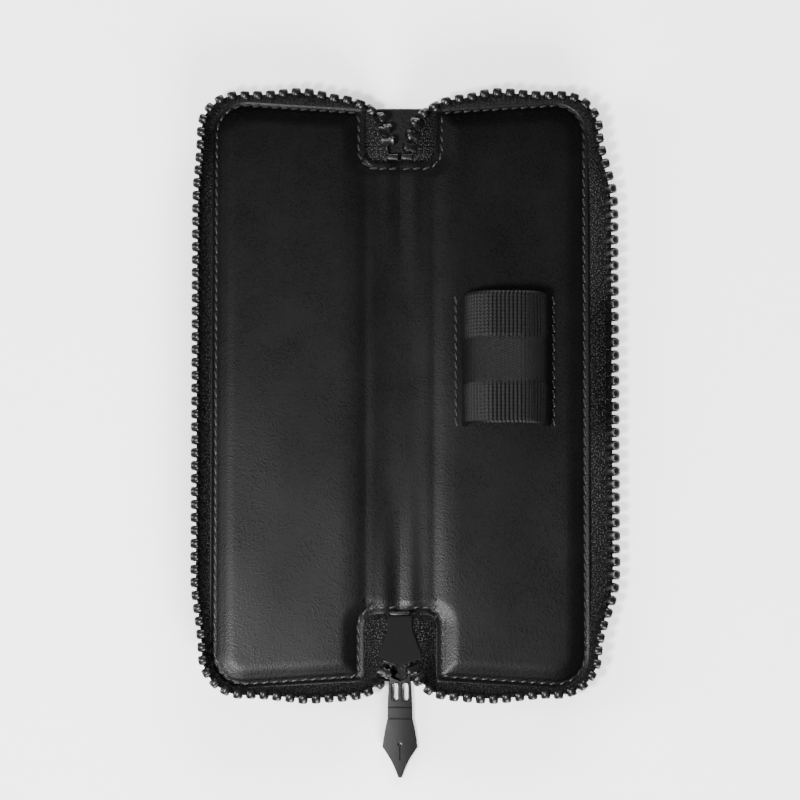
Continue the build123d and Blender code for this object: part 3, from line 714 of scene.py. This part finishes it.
def slab(outline, bottom, top, bevel, steps=2, rim=0.0):
    """A plate of some outline, anticlockwise from above, with rounded edges. A narrow flat
    rim inside the rounding keeps the face beyond it flat."""
    outline = np.array(outline, float)
    before = np.roll(outline, 1, 0) - outline
    after = np.roll(outline, -1, 0) - outline
    before /= np.linalg.norm(before, axis=1, keepdims=True)
    after /= np.linalg.norm(after, axis=1, keepdims=True)
    inward = np.stack([after[:, 1] * -1, after[:, 0]], 1)
    inward_before = np.stack([before[:, 1], -before[:, 0]], 1)
    mitre = inward + inward_before
    mitre /= np.maximum(np.sum(mitre * inward, 1, keepdims=True), 0.35)
    rings = []
    turns = np.linspace(0, math.pi / 2, steps + 1)
    for turn in turns[::-1]:
        rings.append((bevel * (1 - math.cos(turn)), bottom + bevel * (1 - math.sin(turn))))
    for turn in turns:
        rings.append((bevel * (1 - math.cos(turn)), top - bevel * (1 - math.sin(turn))))
    if rim > 0:
        rings = [(bevel + rim, bottom)] + rings + [(bevel + rim, top)]
    points = []
    for inset, level in rings:
        ring = outline + mitre * inset
        points.append(np.column_stack([ring, np.full(len(ring), level)]))
    count = len(outline)
    faces = strip_faces(len(rings), count, wrap=True)
    faces.append(tuple(range(count))[::-1])
    faces.append(tuple(range((len(rings) - 1) * count, len(rings) * count)))
    return np.concatenate(points), faces


def spread(name, pattern, spots, along, rise, material, seed, play):
    """Copies of a pattern at the given spots, turned to two directions, as one plain mesh."""
    cloud = bpy.data.meshes.new(name + "_spots")
    cloud.from_pydata([tuple(p) for p in np.asarray(spots) * MM], [], [])
    for key, vectors in (("along", along), ("rise", rise)):
        layer = cloud.attributes.new(key, "FLOAT_VECTOR", "POINT")
        layer.data.foreach_set("vector", np.asarray(vectors, float).ravel())
    holder = bpy.data.objects.new(name + "_holder", cloud)
    bpy.context.scene.collection.objects.link(holder)
    tree = bpy.data.node_groups.new(name + "_spread", "GeometryNodeTree")
    make = tree.interface.new_socket
    make(name="Spots", in_out="INPUT", socket_type="NodeSocketGeometry")
    make(name="Pattern", in_out="INPUT", socket_type="NodeSocketObject")
    make(name="Play", in_out="INPUT", socket_type="NodeSocketFloat")
    make(name="Seed", in_out="INPUT", socket_type="NodeSocketInt")
    make(name="Material", in_out="INPUT", socket_type="NodeSocketMaterial")
    make(name="Result", in_out="OUTPUT", socket_type="NodeSocketGeometry")
    new, link = tree.nodes.new, tree.links.new
    source = new("NodeGroupInput")
    result = new("NodeGroupOutput")
    turn = new("FunctionNodeAxesToRotation")
    turn.primary_axis = "X"
    turn.secondary_axis = "Y"
    for key, socket in (("along", 0), ("rise", 1)):
        read = new("GeometryNodeInputNamedAttribute")
        read.data_type = "FLOAT_VECTOR"
        read.inputs["Name"].default_value = key
        link(read.outputs["Attribute"], turn.inputs[socket])
    info = new("GeometryNodeObjectInfo")
    info.inputs["As Instance"].default_value = False
    link(source.outputs["Pattern"], info.inputs["Object"])
    wobble = new("FunctionNodeRandomValue")
    wobble.data_type = "FLOAT"
    low, high = new("ShaderNodeMath"), new("ShaderNodeMath")
    for node, operation in ((low, "SUBTRACT"), (high, "ADD")):
        node.operation = operation
        node.inputs[0].default_value = 1.0
        link(source.outputs["Play"], node.inputs[1])
    link(low.outputs[0], wobble.inputs[2])
    link(high.outputs[0], wobble.inputs[3])
    link(source.outputs["Seed"], wobble.inputs["Seed"])
    copies = new("GeometryNodeInstanceOnPoints")
    link(source.outputs["Spots"], copies.inputs["Points"])
    link(info.outputs["Geometry"], copies.inputs["Instance"])
    link(turn.outputs[0], copies.inputs["Rotation"])
    link(wobble.outputs[1], copies.inputs["Scale"])
    real = new("GeometryNodeRealizeInstances")
    dress = new("GeometryNodeSetMaterial")
    link(copies.outputs[0], real.inputs[0])
    link(real.outputs[0], dress.inputs["Geometry"])
    link(source.outputs["Material"], dress.inputs["Material"])
    link(dress.outputs[0], result.inputs[0])
    modifier = holder.modifiers.new("spread", "NODES")
    modifier.node_group = tree
    keys = {item.name: item.identifier for item in tree.interface.items_tree}
    modifier[keys["Pattern"]] = pattern
    modifier[keys["Play"]] = play
    modifier[keys["Seed"]] = seed
    modifier[keys["Material"]] = material
    bpy.context.view_layer.update()
    shown = holder.evaluated_get(bpy.context.evaluated_depsgraph_get())
    mesh = bpy.data.meshes.new_from_object(shown)
    mesh.shade_smooth()
    mesh.set_sharp_from_angle(angle=math.radians(42))
    piece = bpy.data.objects.new(name, mesh)
    bpy.context.scene.collection.objects.link(piece)
    for spent in (holder, pattern):
        bpy.data.objects.remove(spent)
    return piece


def at_lengths(points, lengths):
    """Points and directions at some lengths along a polyline."""
    runs = np.linalg.norm(np.diff(points, axis=0), axis=1)
    at = np.concatenate([[0], np.cumsum(runs)])
    place = np.stack([np.interp(lengths, at, points[:, k]) for k in range(3)], 1)
    ahead = np.stack([np.interp(lengths + 0.4, at, points[:, k]) for k in range(3)], 1)
    behind = np.stack([np.interp(lengths - 0.4, at, points[:, k]) for k in range(3)], 1)
    way = ahead - behind
    return place, way / np.linalg.norm(way, axis=1, keepdims=True), at[-1]


tooth_plastic = Finish("zip_teeth", Specular_IOR_Level=0.25, Coat_Roughness=0.15)
speck = tooth_plastic.noise(tooth_plastic.place(), 700.0, 2.0)
tooth_plastic.feed("Base Color", tooth_plastic.blend(speck, (0.001, 0.001, 0.0012),
                                                     (0.003, 0.003, 0.0033)))
tooth_plastic.feed("Roughness", 0.26 + speck * 0.14)
tooth_plastic.feed("Coat Weight", tooth_plastic.ramp(speck, 0.3, 0.7, 0.0, 0.15))
tooth_plastic.bump(tooth_plastic.noise(tooth_plastic.place(), 900.0, 2.0), 0.00003)
for side, leaf in ((1, "right"), (-1, "left")):
    half = TOOTH_OUTLINE
    outline = half + [(-x, y) for x, y in half[::-1]]
    pattern = add_mesh("tooth_" + leaf, *slab(outline, -TOOTH_THICK / 2, TOOTH_THICK / 2,
                                              TOOTH_BEVEL, 2), tooth_plastic.material)
    rows, _ = tape_path(side)
    length = at_lengths(rows[:, 3], np.zeros(1))[2]
    steps = np.arange(FIRST_TOOTH[side], length - LAST_ROOM, TOOTH_PITCH)
    spots, along, _ = at_lengths(rows[:, 3], steps)
    nearest = np.argmin(np.linalg.norm(rows[None, :, 3] - spots[:, None], axis=2), axis=1)
    rise = rows[nearest, 3] - rows[nearest, 2]
    rise -= along * np.sum(rise * along, 1, keepdims=True)
    rise /= np.linalg.norm(rise, axis=1, keepdims=True)
    mirror = np.array((side, 1, 1))
    piece = spread("zip_teeth_" + leaf, pattern, spots * mirror, along * mirror, rise * mirror,
                   tooth_plastic.material, 5 + side, 0.015)
    bend_at_fold(piece)
    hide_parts(leaf + "_teeth", "slider_end_teeth_" + leaf, "stop_end_teeth_" + leaf)


# ---------------------------------------------------------------- seams
# Waxed black thread in a saddle stitch: short bars that each slant a little, sunk in a
# groove along the edge of the lining, round both cut-outs and beside the pen loop.
STITCH_PITCH = 2.5
STITCH_LENGTH = 1.95
STITCH_HALF = 0.3
STITCH_SLANT = math.radians(13)
END_CORNER = 2.0


def arc(centre_x, centre_y, radius, start, stop, count=9):
    turns = np.radians(np.linspace(start, stop, count))
    return [(centre_x + radius * math.cos(t), centre_y + radius * math.sin(t)) for t in turns]


def seam_line():
    """The seam of the right half, from the middle of the spine at the slider end round it."""
    corner_x = half_width - EDGE_CORNER
    corner_y = reach(corner_x, 0) - EDGE_CORNER
    inner_x = notch_wide + SEAM_INSET
    web_x = notch_wide - NOTCH_ROUND
    web = NOTCH_ROUND + SEAM_INSET
    end_y = INNER_REACH - SEAM_INSET
    small = END_CORNER
    radius = EDGE_CORNER - SEAM_INSET
    path = [(0.6, -notch_bottom + SEAM_INSET), (web_x, -notch_bottom + SEAM_INSET)]
    path += arc(web_x, -notch_bottom - NOTCH_ROUND, web, 90, 0)
    path += arc(inner_x + small, -end_y + small, small, 180, 268, 5)
    path += arc(corner_x, -corner_y, radius, -88, 0)
    path += arc(corner_x, corner_y, radius, 0, 88)
    path += arc(inner_x + small, end_y - small, small, 92, 180, 5)
    path += arc(web_x, notch_top + NOTCH_ROUND, web, 0, -90)
    path += [(0.6, notch_top - SEAM_INSET)]
    return np.array([(x, y, 0) for x, y in path])


def stitch_pattern(name):
    """One stitch: a short bar with tapered, rounded ends, lying along X."""
    turns = np.linspace(0, math.tau, 7)[:-1]
    points = []
    for share, size in ((-0.5, 0.35), (-0.4, 0.85), (-0.15, 1.0), (0.15, 1.0), (0.4, 0.85),
                        (0.5, 0.35)):
        for turn in turns:
            points.append((share * STITCH_LENGTH, STITCH_HALF * size * math.cos(turn),
                           STITCH_HALF * size * math.sin(turn) - 0.12 * abs(share)))
    faces = strip_faces(6, 6, wrap=True)
    faces = [face[::-1] for face in faces]
    faces.append(tuple(range(6)))
    faces.append(tuple(range(30, 36))[::-1])
    return add_mesh(name, points, [f[::-1] for f in faces], thread.material)


thread = Finish("thread", Roughness=0.4, Specular_IOR_Level=0.3)
twist = thread.place("Object", (1.0, 1.0, 1.0))
strand = thread.noise(twist, 1800.0, 2.0)
thread.feed("Base Color", thread.blend(strand, (0.0012, 0.0012, 0.0014), (0.012, 0.012, 0.0125)))
thread.bump(strand, 0.00006)


def sew(name, line, side, level, slant):
    """Stitches along a line, each a pitch apart, on the level that a function gives."""
    length = at_lengths(line, np.zeros(1))[2]
    count = round(length / STITCH_PITCH)
    steps = (np.arange(count) + 0.5) * length / count
    spots, along, _ = at_lengths(line, steps)
    spots[:, 2] = level(spots[:, 0], spots[:, 1]) + STITCH_HALF * 0.45
    turn = np.array(((math.cos(slant), -math.sin(slant), 0), (math.sin(slant), math.cos(slant), 0),
                     (0, 0, 1)))
    along = along @ turn.T
    rise = np.cross(np.array((0, 0, 1.0)), along)
    mirror = np.array((side, 1, 1))
    return spread(name, stitch_pattern(name + "_stitch"), spots * mirror, along * mirror,
                  rise * mirror, thread.material, 11, 0.06)


for side, leaf in ((1, "right"), (-1, "left")):
    piece = sew("seam_" + leaf, seam_line(), side,
                lambda x, y: lining_surface(x, y, side), STITCH_SLANT * side)
    bend_at_fold(piece)
    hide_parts(leaf + "_seam_thread", "spine_seam_thread")


# ---------------------------------------------------------------- pen loop
# A wide band of ribbed black elastic arches over the right leaf. Its legs pass through slits
# in the lining and are sewn down beside them. Its ribs run across the case; the middle third
# is woven finer and flatter than the rest.
loop_low, loop_high = (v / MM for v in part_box("pen_loop"))
LOOP_LEFT = 16.1
LOOP_RIGHT = 38.2
LOOP_CROWN = 8.0
LOOP_THICK = 1.0
LOOP_FOOT = MARGIN_TOP + 0.2
RIB_PITCH = 1.05
RIB_HEIGHT = 0.3
ELASTIC_STEP = 0.13
loop_start, loop_end = loop_low.y, loop_high.y
loop_top = loop_high.z


def loop_profile():
    """The middle line of the band, from its left foot over the crown to its right foot."""
    half = LOOP_THICK / 2
    radius = LOOP_CROWN - half
    left, right, top = LOOP_LEFT + half, LOOP_RIGHT - half, loop_top - half
    bulge = 0.25
    line = [(left, LOOP_FOOT), (left - bulge, (LOOP_FOOT + top - radius) / 2)]
    line += arc(left + radius, top - radius, radius, 178, 92, 22)
    line += [((left + right) / 2, top + 0.02)]
    line += arc(right - radius, top - radius, radius, 88, 2, 22)
    line += [(right + bulge, (LOOP_FOOT + top - radius) / 2), (right, LOOP_FOOT)]
    line = np.array([(x, 0, z) for x, z in line])
    length = at_lengths(line, np.zeros(1))[2]
    steps = np.linspace(0, length, round(length / ELASTIC_STEP))
    place, way, _ = at_lengths(line, steps)
    return place, np.stack([-way[:, 2], way[:, 1], way[:, 0]], 1), steps


def loop_mesh():
    line, normal, steps = loop_profile()
    y = np.linspace(loop_start, loop_end, 69)
    middle = smooth_step((y - 1.2) / 1.0) * smooth_step((13.8 - y) / 1.0)
    ribs = np.abs(np.sin(steps * math.pi / RIB_PITCH))[:, None] * RIB_HEIGHT
    fine = 0.25 + 0.75 * (1 - middle)[None, :]
    edge = np.minimum(y - loop_start, loop_end - y)
    rim = -0.3 * (1 - np.sqrt(1 - (1 - np.clip(edge / 0.6, 0, 1)) ** 2))
    sag = 0.22 * np.sin((y - loop_start) / (loop_end - loop_start) * math.pi) - 0.22
    crown = smooth_step((line[:, 2] - MARGIN_TOP) / 8)[:, None]
    outer = line[:, None, :] + normal[:, None, :] * (
        LOOP_THICK / 2 - RIB_HEIGHT + ribs * fine + (rim + sag)[None, :] * crown)[:, :, None]
    inner = line[:, None, :] + normal[:, None, :] * (
        -LOOP_THICK / 2 + (0.6 * sag - rim)[None, :] * crown)[:, :, None]
    for face in (outer, inner):
        face[:, :, 1] = y[None, :]
    rows, columns = outer.shape[:2]
    count = rows * columns
    points = np.concatenate([outer.reshape(-1, 3), inner.reshape(-1, 3)])
    upper = strip_faces(rows, columns)
    lower = [tuple(i + count for i in face[::-1]) for face in upper]
    rim_at = grid_rim(rows, columns)
    ring = [(a, b, b + count, a + count) for a, b in zip(rim_at[1:] + rim_at[:1], rim_at)]
    uvs = np.stack(np.broadcast_arrays(steps[:, None], y[None, :]), -1).reshape(-1, 2)
    return points, upper + lower + ring, np.concatenate([uvs, uvs]), steps[-1]


elastic = Finish("elastic", Specular_IOR_Level=0.11)
band_map = elastic.place("UV")
over = elastic.node("ShaderNodeSeparateXYZ", {}, band_map)
down = elastic.node("ShaderNodeSeparateXYZ", {}, band_map, out=1)
rib_wave = (over * (math.tau / (RIB_PITCH * MM))).math("COSINE")
braid = (down * (math.tau / 0.0009) + rib_wave * 1.2).math("SINE") * 0.25 - rib_wave * 0.75
twill = ((over + down) * (math.tau / 0.0007)).math("SINE")
in_middle = elastic.ramp(down, 0.0012, 0.0022) * elastic.ramp(down, 0.0128, 0.0138, 1.0, 0.0)
weave_and_rib_shade = braid * (1 - in_middle) + twill * in_middle * 0.6
yarn = elastic.noise(band_map, 1400.0, 2.0)
# Painted highlight and shade: the colour is lighter on the rib crests and darker between them, standing
# in for light on the ribs; the yarn noise is the elastic's own tone.
elastic.feed("Base Color", elastic.blend(elastic.ramp(weave_and_rib_shade + yarn, 0.2, 1.6),
                                         (0.0003, 0.0003, 0.0004), (0.005, 0.005, 0.0053)))
elastic.feed("Roughness", 0.36 + yarn * 0.2)
elastic.bump(weave_and_rib_shade * 0.5 + yarn * 0.5, 0.00014)
loop_points, loop_faces, loop_uvs, loop_arc = loop_mesh()
loop_band = add_mesh("pen_loop_band", loop_points, loop_faces, elastic.material, loop_uvs, 60)
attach(loop_band, "right_leaf")
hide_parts("pen_loop")

LOOP_SEAM_OUT = 1.6
loop_seams = []
for number, seam_x in enumerate((LOOP_LEFT - LOOP_SEAM_OUT, LOOP_RIGHT + LOOP_SEAM_OUT)):
    line = np.array([(seam_x, loop_start, 0), (seam_x, loop_end, 0)])
    piece = sew("pen_loop_seam_" + str(number + 1), line, 1,
                lambda x, y: lining_surface(x, y, 1), STITCH_SLANT)
    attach(piece, "right_leaf")
    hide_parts("pen_loop_thread")


# ---------------------------------------------------------------- slider
# A die-cast slider in satin black. Two plates are joined by a post at the mouth between the
# two chains, with lips along both sides, and a bridge under the lower plate holds the pull.
SLIDER_REAR = -58.0
SLIDER_FRONT = -70.8
PLATE_LEVELS = ((4.2, 5.2), (7.8, 8.8))
LIP_WIDE = 0.45
LIP_HIGH = 0.65
slider_half = [(3.3, SLIDER_REAR), (3.3, -61.6), (5.65, -67.8), (5.65, -68.9)]


def rounded(corners, radius, steps=4):
    """An outline with each corner rounded, anticlockwise."""
    corners = np.array(corners, float)
    path = []
    for index, corner in enumerate(corners):
        to_last = corners[index - 1] - corner
        to_next = corners[(index + 1) % len(corners)] - corner
        room = min(np.linalg.norm(to_last), np.linalg.norm(to_next)) * 0.45
        step = min(radius, room)
        start = corner + to_last / np.linalg.norm(to_last) * step
        stop = corner + to_next / np.linalg.norm(to_next) * step
        for share in np.linspace(0, 1, steps + 1):
            path.append((1 - share) ** 2 * start + 2 * (1 - share) * share * corner
                        + share**2 * stop)
    return np.array(path)


def joined(*meshes):
    """Several closed shells as one mesh."""
    points, faces, count = [], [], 0
    for shell_points, shell_faces in meshes:
        points.append(np.asarray(shell_points))
        faces += [tuple(i + count for i in face) for face in shell_faces]
        count += len(shell_points)
    return np.concatenate(points), faces


def cast_metal(name, dark, light, rough, grain):
    """Painted or plated cast metal, with a faint grain and uneven polish."""
    metal = Finish(name, Metallic=0.02, Specular_IOR_Level=0.06, Coat_Roughness=0.25)
    where = metal.place()
    cloudy = metal.noise(where, 220.0, 3.0)
    fine = metal.noise(where, 2600.0, 2.0)
    metal.feed("Base Color", metal.blend(cloudy, dark, light))
    metal.feed("Roughness", rough + cloudy * 0.1 + fine * 0.06)
    metal.bump(fine, grain * MM)
    return metal.material


slider_metal = cast_metal("slider_metal", (0.001, 0.001, 0.0011), (0.002, 0.002, 0.0022), 0.42, 0.02)
slider_plan = [(-x, y) for x, y in slider_half] + [(0, SLIDER_FRONT)] + slider_half[::-1]
slider_outline = rounded(slider_plan, 0.9)
lip_corners = [(3.3 - LIP_WIDE, -61.6), (5.65 - LIP_WIDE, -67.8), (5.65, -67.8), (3.3, -61.6)]
shells = [slab(slider_outline, bottom, top, 0.3, 3, 0.05) for bottom, top in PLATE_LEVELS]
for sign in (-1, 1):
    lip = [(3.3, SLIDER_REAR - 0.2), (3.3 - LIP_WIDE, SLIDER_REAR - 0.2),
           (3.3 - LIP_WIDE, -61.6), (5.65 - LIP_WIDE, -67.8), (5.6, -67.8), (3.3, -61.6)]
    lip = lip if sign > 0 else [(-x, y) for x, y in lip[::-1]]
    shells.append(slab(lip, PLATE_LEVELS[0][1] - 0.2, PLATE_LEVELS[0][1] + LIP_HIGH, 0.12, 1))
    shells.append(slab(lip, PLATE_LEVELS[1][0] - LIP_HIGH, PLATE_LEVELS[1][0] + 0.2, 0.12, 1))
post = [(0.6, -69.8), (0.36, -68.9), (0, -68.4), (-0.36, -68.9), (-0.6, -69.8), (0, -70.4)]
shells.append(slab(post, PLATE_LEVELS[0][1] - 0.2, PLATE_LEVELS[1][0] + 0.2, 0.05, 1))
slider_piece = add_mesh("slider_shell", *joined(*shells), slider_metal, smooth=50)
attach(slider_piece, "slider")
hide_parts("slider_body")

BRIDGE_HALF = 1.3
bridge_outer = [(-70.5, 4.35), (-70.5, 2.3), (-69.8, 1.6), (-65.7, 1.6), (-63.5, 4.35)]
bridge_inner = [(-69.7, 4.35), (-69.7, 2.35), (-65.7, 2.35), (-65.7, 4.35)]
bridge_line = bridge_outer + bridge_inner[::-1]
bridge_points, bridge_faces = slab([(y, z) for y, z in bridge_line], -BRIDGE_HALF, BRIDGE_HALF,
                                   0.15, 2)
bridge_points = bridge_points[:, [2, 0, 1]]
bridge = add_mesh("slider_bridge_piece", bridge_points, bridge_faces, slider_metal, smooth=50)
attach(bridge, "slider")
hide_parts("slider_bridge")


# ---------------------------------------------------------------- zip stops
# Where the zip starts, one moulded block ends each chain. Behind the slider, a single bar
# joins both tapes.
for leaf, node in (("right", "chain_stop_right"), ("left", "chain_stop_left"),
                   ("bottom", "bottom_stop")):
    low_corner, high_corner = (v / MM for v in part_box(node))
    corners = [(low_corner.x, low_corner.z), (high_corner.x, low_corner.z),
               (high_corner.x, high_corner.z), (low_corner.x, high_corner.z)]
    outline = rounded(corners, 0.55)
    points, faces = slab(outline, low_corner.y, high_corner.y, 0.18, 2)
    points = points[:, [0, 2, 1]]
    piece = add_mesh("zip_stop_" + leaf, points, [f[::-1] for f in faces],
                     tooth_plastic.material, smooth=50)
    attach(piece, "spine")
    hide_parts(node)


# ---------------------------------------------------------------- pull
# A flat pull shaped like the nib of a fountain pen: an eye for the slider's bridge, two
# slots, a band between two lines, and a slit that ends in a breather hole. Satin black.
PULL_AXIS = Vector((0, -68.7, 3.25))
PULL_DROOP = math.radians(4.0)
PULL_THICK = 1.2
PULL_BEVEL = 0.22
pull_right = [(0.0, 0.65), (2.5, 0.65), (2.85, 0.3), (2.85, -5.9), (3.2, -12.6), (3.2, -15.5)]
for share in np.linspace(0, 1, 9)[1:]:
    x = (1 - share) ** 2 * 3.2 + 2 * (1 - share) * share * 4.0 + share**2 * 4.55
    y = (1 - share) ** 2 * -15.5 + 2 * (1 - share) * share * -18.5 + share**2 * -22.8
    pull_right.append((x, y))
for share in np.linspace(0, 1, 11)[1:]:
    x = (1 - share) ** 2 * 4.55 + 2 * (1 - share) * share * 1.7 + share**2 * 0.45
    y = (1 - share) ** 2 * -22.8 + 2 * (1 - share) * share * -26.6 + share**2 * -30.7
    pull_right.append((x, y))
pull_outline = [(-x, y) for x, y in pull_right if x > 0] + pull_right[::-1]
eye = rounded([(-1.95, -0.65), (-1.95, -4.95), (-0.97, -5.25), (0, -5.75), (0.97, -5.25),
               (1.95, -4.95), (1.95, -0.65)], 0.4, 3)
holes = [eye]
for sign in (-1, 1):
    holes.append(rounded([(sign * 1.3 - 0.8, -6.4), (sign * 1.3 - 0.8, -10.9),
                          (sign * 1.3 + 0.8, -10.9), (sign * 1.3 + 0.8, -6.4)], 0.75, 4))
holes.append(np.array(arc(0, -22.0, 0.4, 0, 337.5, 16)))


def cut_plate(outlines, thickness, bevel, steps=3):
    """A plate with rounded edges: its outline anticlockwise, then its holes clockwise."""
    points, faces, caps = [], [], ([], [])
    count = 0
    for outline in outlines:
        ring_points, ring_faces = slab(outline, -thickness / 2, thickness / 2, bevel, steps, 0.05)
        points.append(ring_points)
        size = len(outline)
        faces += [tuple(i + count for i in face) for face in ring_faces[:-2]]
        caps[0].append([count + i for i in range(size)])
        caps[1].append([count + len(ring_points) - size + i for i in range(size)])
        count += len(ring_points)
    points = np.concatenate(points)
    for loops, upward in zip(caps, (False, True)):
        flat = [i for loop in loops for i in loop]
        loops_at = [[Vector((points[i, 0], points[i, 1], 0)) for i in loop] for loop in loops]
        for triangle in tessellate_polygon(loops_at):
            a, b, c = (flat[i] for i in triangle)
            (ax, ay), (bx, by), (cx, cy) = points[a, :2], points[b, :2], points[c, :2]
            anticlockwise = (bx - ax) * (cy - ay) - (by - ay) * (cx - ax) > 0
            faces.append((a, b, c) if anticlockwise == upward else (a, c, b))
    return points, faces



def clockwise(outline):
    """The outline with its points in clockwise order."""
    x, y = np.array(outline, float).T
    area = np.sum(x * np.roll(y, -1) - y * np.roll(x, -1))
    return outline if area < 0 else outline[::-1]


holes = [clockwise(hole) for hole in holes]
pull_points, pull_faces = cut_plate([pull_outline] + holes, PULL_THICK, PULL_BEVEL)
turned_y = pull_points[:, 1] * math.cos(PULL_DROOP) - pull_points[:, 2] * math.sin(PULL_DROOP)
turned_z = pull_points[:, 1] * math.sin(PULL_DROOP) + pull_points[:, 2] * math.cos(PULL_DROOP)
pull_points = np.column_stack([pull_points[:, 0], turned_y, turned_z]) + np.array(PULL_AXIS)
pull_metal = Finish("pull_metal", Metallic=0.5, Specular_IOR_Level=0.18, Coat_Weight=0.03,
                    Coat_Roughness=0.2)
spot = pull_metal.place()
side_at = pull_metal.node("ShaderNodeSeparateXYZ", {}, spot)
down_at = pull_metal.node("ShaderNodeSeparateXYZ", {}, spot, out=1)
crown = 1 - (side_at / 0.0046) ** 2
groove = 0.0
for distance in (12.6, 15.5):
    off = (down_at - (PULL_AXIS.y - distance) * MM).math("ABSOLUTE")
    groove = pull_metal.ramp(off, 0.00005, 0.0002, 1.0, 0.0) + groove
slit_ends = pull_metal.ramp(down_at, (PULL_AXIS.y - 26.2) * MM, (PULL_AXIS.y - 26.0) * MM)
slit_ends = slit_ends * pull_metal.ramp(down_at, (PULL_AXIS.y - 22.3) * MM,
                                        (PULL_AXIS.y - 22.2) * MM, 1.0, 0.0)
slit = pull_metal.ramp(side_at.math("ABSOLUTE"), 0.00005, 0.0002, 1.0, 0.0) * slit_ends
haze = pull_metal.noise(spot, 260.0, 3.0)
fine = pull_metal.noise(spot, 2400.0, 2.0)
# Painted shade: the colour is darker in the band's two lines and in the slit, as shade in these
# grooves; the bump cuts them in as well.
groove_shade = pull_metal.ramp(groove + slit, 0.2, 1.0)
pull_metal.feed("Base Color", pull_metal.blend(groove_shade, (0.004, 0.004, 0.0043), (0.0008, 0.0008, 0.0008)))
pull_metal.feed("Roughness", 0.3 + haze * 0.12)
pull_metal.bump(crown * 0.3 - (groove + slit) * 0.35 + fine * 0.03, 0.0006)
pull_piece = add_mesh("nib_pull", pull_points, pull_faces, pull_metal.material, smooth=35)
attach(pull_piece, "pull")
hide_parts("zip_pull")


# ---------------------------------------------------------------- boards and pads
# Grey stiffening board in each leaf and in the spine, and a foam pad on each leaf, all of
# them closed in between the cover and the lining. They keep their own shape.
board_stuff = Finish("board", Roughness=0.8)
board_stuff.feed("Base Color", board_stuff.blend(board_stuff.noise(board_stuff.place(), 900.0),
                                                 (0.10, 0.095, 0.09), (0.16, 0.155, 0.15)))
pad_stuff = Finish("pad", Roughness=0.9)
pad_cells = pad_stuff.cells(pad_stuff.place(), 1400.0)
pad_stuff.feed("Base Color", pad_stuff.blend(pad_cells, (0.05, 0.05, 0.05), (0.09, 0.09, 0.09)))
pad_stuff.bump(pad_cells, 0.0002)
for node, stuff in (("left_board", board_stuff), ("right_board", board_stuff),
                    ("spine_stiffener", board_stuff), ("left_pad", pad_stuff),
                    ("right_pad", pad_stuff)):
    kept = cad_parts[node]
    kept.data.materials.clear()
    kept.data.materials.append(stuff.material)
